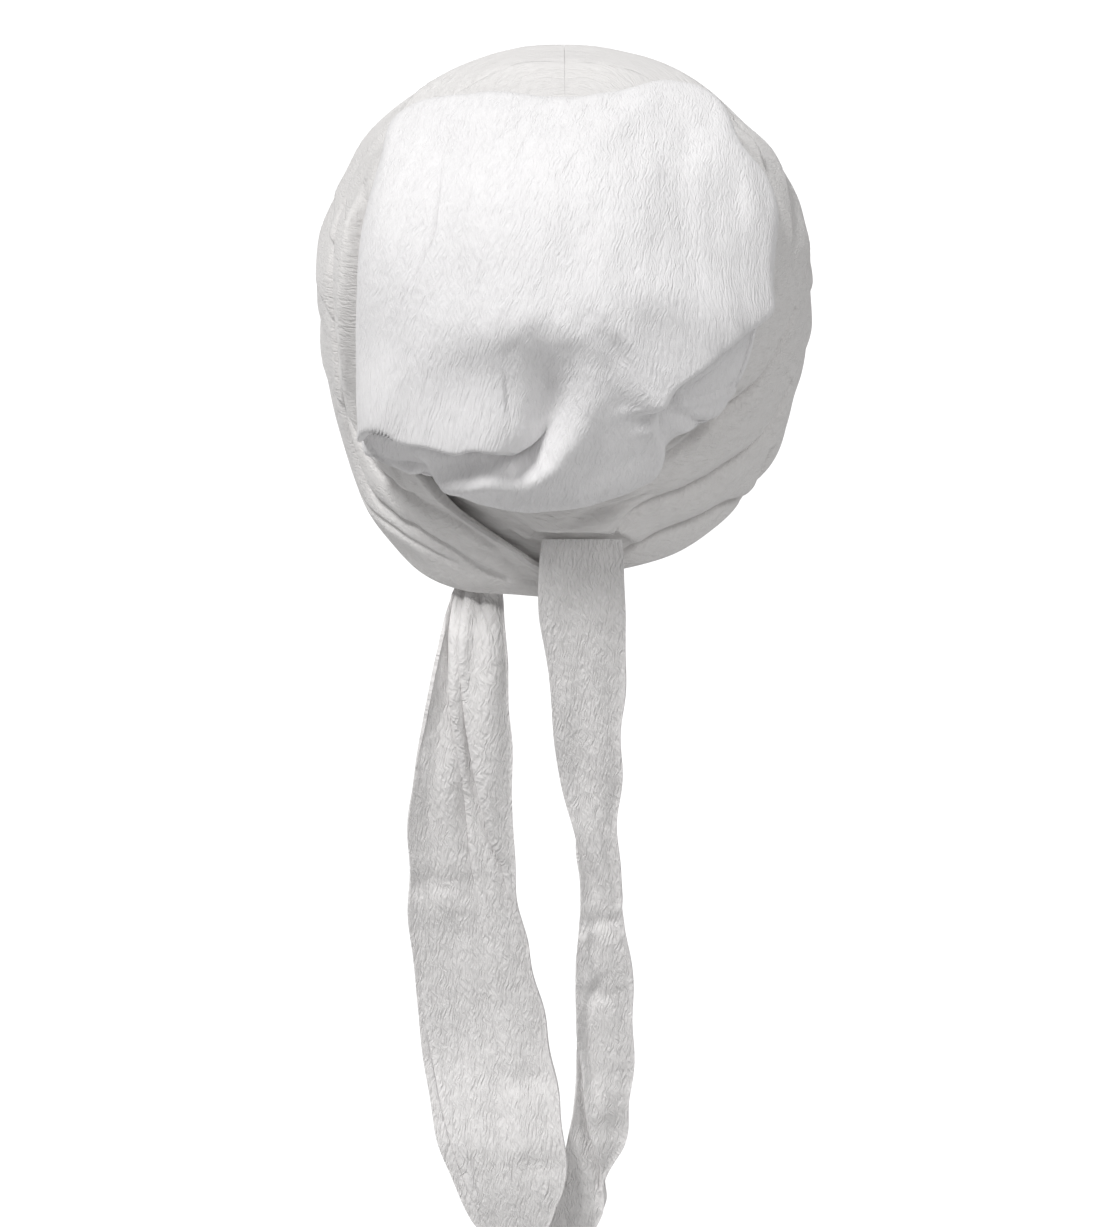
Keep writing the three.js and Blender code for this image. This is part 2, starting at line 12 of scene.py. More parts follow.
import bmesh
import bpy
import numpy as np
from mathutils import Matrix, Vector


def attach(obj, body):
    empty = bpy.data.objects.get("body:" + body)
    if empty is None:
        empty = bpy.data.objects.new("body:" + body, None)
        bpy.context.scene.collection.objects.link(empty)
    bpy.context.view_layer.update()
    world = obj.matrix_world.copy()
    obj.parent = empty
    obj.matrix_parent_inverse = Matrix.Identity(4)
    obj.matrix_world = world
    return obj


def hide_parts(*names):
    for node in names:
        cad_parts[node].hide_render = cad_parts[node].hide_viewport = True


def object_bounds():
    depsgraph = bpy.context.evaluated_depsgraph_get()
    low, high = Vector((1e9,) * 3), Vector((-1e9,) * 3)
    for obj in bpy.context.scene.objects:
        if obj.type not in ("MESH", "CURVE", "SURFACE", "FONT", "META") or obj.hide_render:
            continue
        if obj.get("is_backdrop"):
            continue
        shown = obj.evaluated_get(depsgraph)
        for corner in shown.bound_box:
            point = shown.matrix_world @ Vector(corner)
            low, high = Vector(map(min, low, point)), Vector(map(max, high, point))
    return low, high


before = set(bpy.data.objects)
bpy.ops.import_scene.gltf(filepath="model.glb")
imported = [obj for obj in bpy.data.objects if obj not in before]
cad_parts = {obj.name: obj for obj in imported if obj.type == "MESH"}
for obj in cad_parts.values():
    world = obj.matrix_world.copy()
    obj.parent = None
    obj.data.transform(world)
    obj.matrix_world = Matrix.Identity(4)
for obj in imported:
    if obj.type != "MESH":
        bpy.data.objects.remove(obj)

LOG = logging.getLogger("turban_hat")
MM = 0.001
UV_PER_MM = 0.01
LEVEL = 20.0  # height above the form where the lines of folds are measured, mm
LINE_PARTS = 5  # points of a fold's line per row of its table
WRAP_RUN = 300.0  # length of a wrap, mm
WHITE = (1.0, 1.0, 1.0, 1.0)


class FoldKind(Enum):
    """How a fold of the bag or a wrap moves the cloth on its two sides."""

    STEP = "step"
    RIDGE = "ridge"


class Hold(Enum):
    GATHERED = "gathered"
    HUNG = "hung"


def smooth(value: np.ndarray, low: float, high: float) -> np.ndarray:
    """Smooth step from 0 at low to 1 at high.

    Args:
        value: Places to read.
        low: Where the step starts.
        high: Where it ends.

    Returns:
        Values from 0 to 1.
    """
    part = np.clip((np.asarray(value, dtype=float) - low) / (high - low), 0.0, 1.0)
    return part * part * (3.0 - 2.0 * part)


def column(rows: Sequence[Sequence[float]], index: int, at: np.ndarray) -> np.ndarray:
    """Read one column of a table along its first column, as a smooth curve through the rows.

    Args:
        rows: Table whose first column rises.
        index: Column to read.
        at: Places along the first column.

    Returns:
        The column's values at those places.
    """
    table = np.array(rows, dtype=float)
    key, value = table[:, 0], table[:, index]
    slope = np.empty_like(value)
    slope[1:-1] = (value[2:] - value[:-2]) / (key[2:] - key[:-2])
    slope[0] = (value[1] - value[0]) / (key[1] - key[0])
    slope[-1] = (value[-1] - value[-2]) / (key[-1] - key[-2])
    place = np.clip(np.asarray(at, dtype=float), key[0], key[-1])
    low = np.clip(np.searchsorted(key, place, side="right") - 1, 0, len(key) - 2)
    gap = key[low + 1] - key[low]
    t = (place - key[low]) / gap
    return ((2 * t**3 - 3 * t**2 + 1) * value[low] + (t**3 - 2 * t**2 + t) * gap * slope[low]
            + (3 * t**2 - 2 * t**3) * value[low + 1] + (t**3 - t**2) * gap * slope[low + 1])


def spline(points: np.ndarray, places: np.ndarray) -> np.ndarray:
    """Centripetal curve through points, read at places counted in points.

    Args:
        points: Array of points, one a row.
        places: Places from 0 to the number of points less one.

    Returns:
        One point a place.
    """
    ends = np.vstack([2 * points[0] - points[1], points, 2 * points[-1] - points[-2]])
    low = np.clip(np.floor(places).astype(int), 0, len(points) - 2)
    part = (places - low)[:, None]
    p0, p1, p2, p3 = (ends[low + k] for k in range(4))

    def gap(a: np.ndarray, b: np.ndarray) -> np.ndarray:
        """Centripetal spacing between two points."""
        return np.maximum(np.sqrt(np.linalg.norm(b - a, axis=1, keepdims=True)), 1e-4)

    g0, g1, g2 = gap(p0, p1), gap(p1, p2), gap(p2, p3)
    m1 = ((p1 - p0) / g0 - (p2 - p0) / (g0 + g1) + (p2 - p1) / g1) * g1
    m2 = ((p2 - p1) / g1 - (p3 - p1) / (g1 + g2) + (p3 - p2) / g2) * g1
    t = part
    return ((2 * t**3 - 3 * t**2 + 1) * p1 + (t**3 - 2 * t**2 + t) * m1
            + (3 * t**2 - 2 * t**3) * p2 + (t**3 - t**2) * m2)


def waves(u: np.ndarray, v: np.ndarray, seed: int, size: float, count: int = 9) -> np.ndarray:
    """Soft random undulation: a sum of plane waves with seeded directions and phases.

    Args:
        u: First coordinate (mm).
        v: Second coordinate (mm).
        seed: Seed of the draws.
        size: Mean wave length (mm).
        count: Number of waves.

    Returns:
        Values of about -1 to 1.
    """
    draw = np.random.default_rng(seed)
    total = np.zeros(np.broadcast(u, v).shape)
    for _ in range(count):
        angle = draw.uniform(0.0, math.pi)
        length = size * draw.uniform(0.7, 1.5)
        phase = draw.uniform(0.0, 2 * math.pi)
        across = u * math.cos(angle) + v * math.sin(angle)
        total = total + np.sin(across * 2 * math.pi / length + phase)
    return total / math.sqrt(count)


@dataclass(frozen=True)
class HeadForm:
    """Egg about the origin that the cloth is draped on, by its half widths."""

    side: float = 82.0
    back: float = 100.0
    up: float = 76.0
    down: float = 145.0

    def place(self, direction: np.ndarray, height: np.ndarray) -> np.ndarray:
        """Points in directions from the origin, at heights above the form.

        Args:
            direction: Unit vectors, shape (..., 3).
            height: Heights, shape (...).

        Returns:
            Points, shape (..., 3).
        """
        vertical = np.where(direction[..., 2] > 0, self.up, self.down)
        radius = 1.0 / np.sqrt((direction[..., 0] / self.side) ** 2
                               + (direction[..., 1] / self.back) ** 2
                               + (direction[..., 2] / vertical) ** 2)
        return direction * (radius + height)[..., None]


FORM = HeadForm()


@dataclass(frozen=True)
class BagMap:
    """Flat map of directions round the bag's axis, which points backwards and a little up."""

    tilt: float = math.radians(13.0)
    per_degree: float = 2.1

    def flat(self, clock: np.ndarray, theta: np.ndarray) -> np.ndarray:
        """Place on the map.

        Args:
            clock: Direction seen from behind, 0 up, in degrees.
            theta: Angle from the axis in degrees.

        Returns:
            Places in mm, shape (..., 2).
        """
        turn = np.radians(clock)
        reach = np.asarray(theta) * self.per_degree
        return np.stack([reach * np.sin(turn), reach * np.cos(turn)], axis=-1)

    def direction(self, flat: np.ndarray) -> np.ndarray:
        """Direction in space of a place on the map.

        Args:
            flat: Places in mm, shape (..., 2).

        Returns:
            Unit vectors, shape (..., 3).
        """
        reach = np.linalg.norm(flat, axis=-1)
        safe = np.maximum(reach, 1e-9)
        angle = np.radians(reach / self.per_degree)
        out = np.cos(angle)
        up = np.sin(angle) * flat[..., 1] / safe
        right = np.sin(angle) * flat[..., 0] / safe
        return np.stack([right, up * math.sin(self.tilt) - out * math.cos(self.tilt),
                         out * math.sin(self.tilt) + up * math.cos(self.tilt)], axis=-1)


MAP = BagMap()


def from_back(azimuth: np.ndarray, elevation: np.ndarray) -> np.ndarray:
    """Unit vectors by azimuth from the back and elevation, both in degrees."""
    turn, rise = np.radians(azimuth), np.radians(elevation)
    return np.stack([np.cos(rise) * np.sin(turn), -np.cos(rise) * np.cos(turn), np.sin(rise)],
                    axis=-1)


def grid_mesh(points: np.ndarray, uv: np.ndarray, join: bool = False) -> bmesh.types.BMesh:
    """Grid of cloth, moved from a flat grid to its points.

    Args:
        points: Points of shape (rows, columns, 3) in millimetres.
        uv: Cloth coordinates of shape (rows, columns, 2) in millimetres.
        join: Whether coinciding vertices are merged (seams and poles).

    Returns:
        A bmesh in metres with a UV map named cloth.
    """
    rows, columns = points.shape[:2]
    mesh = bmesh.new()
    bmesh.ops.create_grid(mesh, x_segments=columns - 1, y_segments=rows - 1, size=0.5)
    mesh.verts.ensure_lookup_table()
    layer = mesh.loops.layers.uv.new("cloth")
    place = {}
    for vert in mesh.verts:
        i = round((vert.co.y + 0.5) * (rows - 1))
        j = round((vert.co.x + 0.5) * (columns - 1))
        place[vert.index] = (i, j)
    for face in mesh.faces:
        for loop in face.loops:
            i, j = place[loop.vert.index]
            loop[layer].uv = uv[i, j] * UV_PER_MM
    for vert in mesh.verts:
        vert.co = points[place[vert.index]] * MM
    if join:
        bmesh.ops.remove_doubles(mesh, verts=mesh.verts, dist=1e-6)
    return mesh


def finish_mesh(name: str, mesh: bmesh.types.BMesh, wall: float) -> bpy.types.Object:
    """Turn a bmesh into a smooth cloth object with a wall.

    Args:
        name: Name of the piece.
        mesh: The cloth's outer face.
        wall: Thickness of the cloth in millimetres.

    Returns:
        The new object.
    """
    for face in mesh.faces:
        face.smooth = True
    for edge in mesh.edges:
        edge.smooth = not edge.is_boundary
    data = bpy.data.meshes.new(name)
    mesh.to_mesh(data)
    mesh.free()
    piece = bpy.data.objects.new(name, data)
    bpy.context.scene.collection.objects.link(piece)
    skin = piece.modifiers.new("wall", "SOLIDIFY")
    skin.thickness = wall * MM
    skin.offset = -1.0
    skin.use_even_offset = False
    skin.use_rim = True
    return piece


def cloth_area(piece: bpy.types.Object) -> float:
    """Area of the piece's outer face in square metres."""
    return sum(polygon.area for polygon in piece.data.polygons)


class Nodes:
    """Small helper that adds and links nodes in one tree."""

    def __init__(self, tree: bpy.types.NodeTree) -> None:
        """Keep the tree."""
        self.tree = tree

    def add(self, kind: str, **values: object) -> bpy.types.Node:
        """Add a node and set its properties and inputs.

        Args:
            kind: Blender's node type.
            values: Properties by name, or inputs by name with underscores for spaces.

        Returns:
            The new node.
        """
        node = self.tree.nodes.new(kind)
        for name, value in values.items():
            if hasattr(node, name):
                setattr(node, name, value)
            else:
                node.inputs[name.replace("_", " ")].default_value = value
        return node

    def link(self, source: bpy.types.NodeSocket, target: bpy.types.NodeSocket) -> None:
        """Link one output to one input."""
        self.tree.links.new(source, target)

    def math(self, operation: str, first: object, second: object = 0.0) -> bpy.types.NodeSocket:
        """Math node on two sockets or numbers.

        Args:
            operation: Name of the operation.
            first: Socket or number.
            second: Socket or number.

        Returns:
            The result's socket.
        """
        node = self.tree.nodes.new("ShaderNodeMath")
        node.operation = operation
        for slot, value in enumerate((first, second)):
            if isinstance(value, bpy.types.NodeSocket):
                self.link(value, node.inputs[slot])
            else:
                node.inputs[slot].default_value = value
        return node.outputs[0]


def crepe_group() -> bpy.types.NodeTree:
    """Shader node group of the crinkled weave, on the piece's own cloth coordinates.

    Returns:
        A group with the inputs Vector, Crinkle and Grain and the outputs Height and Shade.
    """
    existing = bpy.data.node_groups.get("crepe_weave")
    if existing:
        return existing
    group = bpy.data.node_groups.new("crepe_weave", "ShaderNodeTree")
    face = group.interface
    face.new_socket("Vector", in_out="INPUT", socket_type="NodeSocketVector")
    for name in ("Crinkle", "Grain"):
        face.new_socket(name, in_out="INPUT", socket_type="NodeSocketFloat")
    for name in ("Height", "PaintedShadeAndTone"):
        face.new_socket(name, in_out="OUTPUT", socket_type="NodeSocketFloat")
    nodes = Nodes(group)
    inside = group.nodes.new("NodeGroupInput")
    outside = group.nodes.new("NodeGroupOutput")

    warp = nodes.add("ShaderNodeTexNoise", Scale=12.0, Detail=2.0, Roughness=0.5)
    nodes.link(inside.outputs["Vector"], warp.inputs["Vector"])
    centred = nodes.add("ShaderNodeVectorMath", operation="SUBTRACT")
    nodes.link(warp.outputs["Color"], centred.inputs[0])
    centred.inputs[1].default_value = (0.5, 0.5, 0.5)
    scaled = nodes.add("ShaderNodeVectorMath", operation="MULTIPLY")
    nodes.link(centred.outputs[0], scaled.inputs[0])
    scaled.inputs[1].default_value = (0.045, 0.03, 0.0)
    warped = nodes.add("ShaderNodeVectorMath", operation="ADD")
    nodes.link(inside.outputs["Vector"], warped.inputs[0])
    nodes.link(scaled.outputs[0], warped.inputs[1])

    def stretched(across: float, along: float, turn: float) -> bpy.types.NodeSocket:
        """Noise of stretched cells.

        Args:
            across: Cells across 100 mm of the cloth, at a pitch of 1.
            along: Cells along 100 mm of the cloth, at a pitch of 1.
            turn: Angle of the cells from the cloth's length in degrees.

        Returns:
            The noise's socket.
        """
        turned = nodes.add("ShaderNodeVectorRotate", rotation_type="Z_AXIS",
                           Angle=math.radians(turn))
        nodes.link(warped.outputs[0], turned.inputs["Vector"])
        mapping = nodes.add("ShaderNodeMapping")
        mapping.inputs["Scale"].default_value = (across, along, 1.0)
        nodes.link(turned.outputs[0], mapping.inputs["Vector"])
        noise = nodes.add("ShaderNodeTexNoise", Scale=1.0, Detail=1.0, Roughness=0.5)
        nodes.link(mapping.outputs[0], noise.inputs["Vector"])
        return noise.outputs["Fac"]

    def ridged(noise: bpy.types.NodeSocket) -> bpy.types.NodeSocket:
        """Ridges where the noise passes its middle."""
        off_middle = nodes.math("SUBTRACT", noise, 0.5)
        return nodes.math("SUBTRACT", 1.0, nodes.math("MULTIPLY", 6.0, nodes.math(
            "ABSOLUTE", off_middle)))

    first = ridged(stretched(52.0, 8.0, 9.0))
    second = ridged(stretched(46.0, 11.0, -21.0))
    ripple = stretched(130.0, 34.0, -6.0)
    grain = stretched(330.0, 240.0, 0.0)
    crinkle = nodes.math("MULTIPLY", nodes.math("ADD", first, nodes.math(
        "MULTIPLY", second, 0.75)), 0.6)
    folded = nodes.math("ADD", crinkle, nodes.math("MULTIPLY", ripple, 0.8))
    total = nodes.math("ADD", nodes.math("MULTIPLY", folded, inside.outputs["Crinkle"]),
                       nodes.math("MULTIPLY", nodes.math(
                           "MULTIPLY", grain, inside.outputs["Grain"]), 0.45))
    nodes.link(total, outside.inputs["Height"])
    blotch = nodes.add("ShaderNodeTexNoise", Scale=4.0, Detail=3.0, Roughness=0.6)
    nodes.link(inside.outputs["Vector"], blotch.inputs["Vector"])
    # Tone factor: half follows the crinkle's ridges, so the base colour is lighter on them and
    # darker in the hollows between (painted shade); half is random blotches of tone.
    painted_shade_and_blotch = nodes.math("ADD", nodes.math("MULTIPLY", crinkle, 0.5), nodes.math(
        "MULTIPLY", blotch.outputs["Fac"], 0.5))
    nodes.link(painted_shade_and_blotch, outside.inputs["PaintedShadeAndTone"])
    return group


@dataclass(frozen=True)
class ClothFinish:
    """One cloth finish: its light and deep tone, mixed by painted crinkle shade and random
    blotches, and how strong its crinkle is.
    """

    name: str
    slot: str
    light: tuple[float, float, float]
    deep: tuple[float, float, float]
    crinkle: float = 1.0
    grain: float = 1.0
    pitch: float = 1.0
    depth: float = 0.6
    roughness: float = 0.86
    sheen: float = 0.25

    def material(self) -> bpy.types.Material:
        """Build the finish's material.

        Returns:
            A material with crinkle relief, grain, soft sheen and slight tone changes.
        """
        material = bpy.data.materials.new(self.name)
        material.use_nodes = True
        tree = material.node_tree
        tree.nodes.clear()
        nodes = Nodes(tree)
        output = nodes.add("ShaderNodeOutputMaterial")
        shader = nodes.add("ShaderNodeBsdfPrincipled")
        shader.inputs["Roughness"].default_value = self.roughness
        shader.inputs["Sheen Weight"].default_value = self.sheen
        shader.inputs["Sheen Roughness"].default_value = 0.5
        shader.inputs["Specular IOR Level"].default_value = 0.25
        nodes.link(shader.outputs["BSDF"], output.inputs["Surface"])
        cloth = nodes.add("ShaderNodeUVMap", uv_map="cloth")
        weave = nodes.add("ShaderNodeGroup", node_tree=crepe_group())
        weave.inputs["Crinkle"].default_value = self.crinkle
        weave.inputs["Grain"].default_value = self.grain
        scale = nodes.add("ShaderNodeVectorMath", operation="SCALE")
        nodes.link(cloth.outputs["UV"], scale.inputs[0])
        scale.inputs["Scale"].default_value = self.pitch
        nodes.link(scale.outputs[0], weave.inputs["Vector"])
        # Base colour from the deep to the light tone by the tone factor: painted shade in the
        # crinkle's hollows, plus random blotches.
        shade_and_tone_mix = nodes.add("ShaderNodeMix", data_type="RGBA")
        shade_and_tone_mix.inputs["A"].default_value = (*self.deep, 1.0)
        shade_and_tone_mix.inputs["B"].default_value = (*self.light, 1.0)
        nodes.link(weave.outputs["PaintedShadeAndTone"], shade_and_tone_mix.inputs["Factor"])
        nodes.link(shade_and_tone_mix.outputs["Result"], shader.inputs["Base Color"])
        bump = nodes.add("ShaderNodeBump", Strength=0.7, Distance=self.depth * MM)
        nodes.link(weave.outputs["Height"], bump.inputs["Height"])
        nodes.link(bump.outputs["Normal"], shader.inputs["Normal"])
        return material


# All three finishes are one cloth; the crown's tones are set a little lighter than the wraps' and
# tails' as painted light on the bag's lit top.
CROWN_FINISH = ClothFinish("crown_crepe", "crown_cloth", (0.80, 0.79, 0.795),
                           (0.735, 0.725, 0.73), crinkle=0.8, pitch=1.45, depth=0.4)
WRAP_FINISH = ClothFinish("wrap_crepe", "wrap_cloth", (0.765, 0.75, 0.741), (0.695, 0.679, 0.669),
                          crinkle=0.7, grain=1.4, pitch=1.5, depth=0.5)
TAIL_FINISH = ClothFinish("tail_crepe", "tail_cloth", (0.76, 0.745, 0.74), (0.68, 0.665, 0.658),
                          crinkle=1.0, pitch=1.5, depth=0.65)


def declare(piece: bpy.types.Object, node: str, finish: ClothFinish,
            area: float) -> None:
    """Args:
        piece: The cloth piece.
        node: CAD node that it stands for.
        finish: Its finish.
        area: Area of the piece's outer face in square metres, which is logged.
    """
    piece.data.materials.append(finish.material())
    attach(piece, "root")
    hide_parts(node)
    LOG.info("%s: %d faces, %.4f square metres", piece.name, len(piece.data.polygons), area)


@dataclass(frozen=True)
class Fold:
    """One fold along a line of rows (azimuth, elevation, rise, dip, lean) in degrees and mm.

    A step lifts the cloth by rise on the left of its line, sinks it by dip on its right and leans
    the lifted cloth over the sunk one. A ridge lifts both sides and has no dip and lean, and a
    valley is a ridge that sinks.
    """

    name: str
    kind: FoldKind
    reach: float
    line: tuple[tuple[float, ...], ...]
    hollow: float = 9.0
    near: float = 2.2
    lip: float = 4.0
    blend: float = 2.5
    soft: float = 0.0

    def act(self, direction: np.ndarray) -> tuple[np.ndarray, np.ndarray]:
        """Sideways shift and lift off the form in directions from the origin.

        Args:
            direction: Unit vectors, shape (n, 3).

        Returns:
            The shifts in space, shape (n, 3), and the lifts, shape (n,).
        """
        rows = np.array(self.line, dtype=float)
        rows = np.pad(rows, ((0, 0), (0, 5 - rows.shape[1])))
        knots = FORM.place(from_back(rows[:, 0], rows[:, 1]), np.full(len(rows), LEVEL))
        count = LINE_PARTS * (len(rows) - 1) + 1
        places = np.linspace(0, len(rows) - 1, count)
        track = spline(knots, places)
        value = np.stack([np.interp(places, np.arange(len(rows)), rows[:, k]) for k in (2, 3, 4)],
                         axis=1)
        shift, lift = np.zeros_like(direction), np.zeros(len(direction))
        reach = 2.6 * max(self.reach, self.hollow) + 8.0
        points = FORM.place(direction, np.full(len(direction), LEVEL))
        close = np.zeros(len(points), dtype=bool)
        for knot in track[::3]:
            close |= np.linalg.norm(points - knot, axis=1) < reach
        spot, out = points[close], direction[close]
        steps = track[1:] - track[:-1]
        lengths = np.linalg.norm(steps, axis=1)
        offset = spot[:, None, :] - track[None, :-1, :]
        free = np.einsum("nsk,sk->ns", offset, steps) / lengths**2
        t = np.clip(free, 0.0, 1.0)
        gap = np.linalg.norm(offset - t[..., None] * steps, axis=2)
        best = gap.min(axis=1)
        nearest = gap.argmin(axis=1)
        weight = np.exp(-(gap - best[:, None]) / self.blend)
        weight /= weight.sum(axis=1, keepdims=True)
        left = np.cross(out[:, None, :], (steps / lengths[:, None])[None])
        across = np.einsum("nsk,nsk->ns", offset, left)
        unit = np.einsum("ns,nsk->nk", weight, left)
        mixed = value[None, :-1] * (1 - t[..., None]) + value[None, 1:] * t[..., None]
        amount = np.einsum("ns,nsk->nk", weight, mixed)
        every = np.arange(len(spot))
        here = free[every, nearest] * lengths[nearest]
        before = np.where(nearest == 0, -here, 0.0)
        after = np.where(nearest == count - 2, here - lengths[-1], 0.0)
        ahead = np.maximum(np.maximum(before, after), 0.0)
        level_off = across[every, nearest]
        away = np.where(ahead > 0, level_off, np.where(level_off >= 0, best, -best))
        rise, dip, lean = amount.T
        tail = np.exp(-((ahead / (0.5 * self.reach)) ** 2))
        if self.kind is FoldKind.RIDGE:
            broad = self.soft * np.exp(-((away / (3.4 * self.reach)) ** 2))
            lift[close] = rise * (np.exp(-((away / self.reach) ** 2)) + broad) * tail
            return shift, lift
        away = away - 0.8 * lean
        upper = np.exp(-((np.maximum(away, 0.0) / self.reach) ** 2)) * tail
        lower = np.exp(-((np.minimum(away, 0.0) / self.hollow) ** 2)) * tail
        lifted = smooth(away, -self.near, self.lip)
        moved = smooth(away, -self.near, self.near)
        lift[close] = rise * lifted * upper - dip * (1 - lifted) * lower
        shift[close] = -unit * (lean * moved * upper)[:, None]
        return shift, lift


def fold_all(folds: Sequence[Fold], direction: np.ndarray, act: np.ndarray) \
        -> tuple[np.ndarray, np.ndarray]:
    """Sum of several folds.

    Args:
        folds: The folds.
        direction: Unit vectors, shape (rows, columns, 3).
        act: Strength of the folds, shape (rows, columns).

    Returns:
        The directions after the folds' sideways shift, and the lifts.
    """
    spread = direction.reshape(-1, 3)
    shift, lift = np.zeros_like(spread), np.zeros(len(spread))
    for fold in folds:
        moved, raised = fold.act(spread)
        shift += moved
        lift += raised
    strength = act.reshape(-1)
    ground = FORM.place(spread, np.full(len(spread), LEVEL)) + shift * strength[:, None]
    ground /= np.linalg.norm(ground, axis=1, keepdims=True)
    return ground.reshape(direction.shape), (lift * strength).reshape(act.shape)


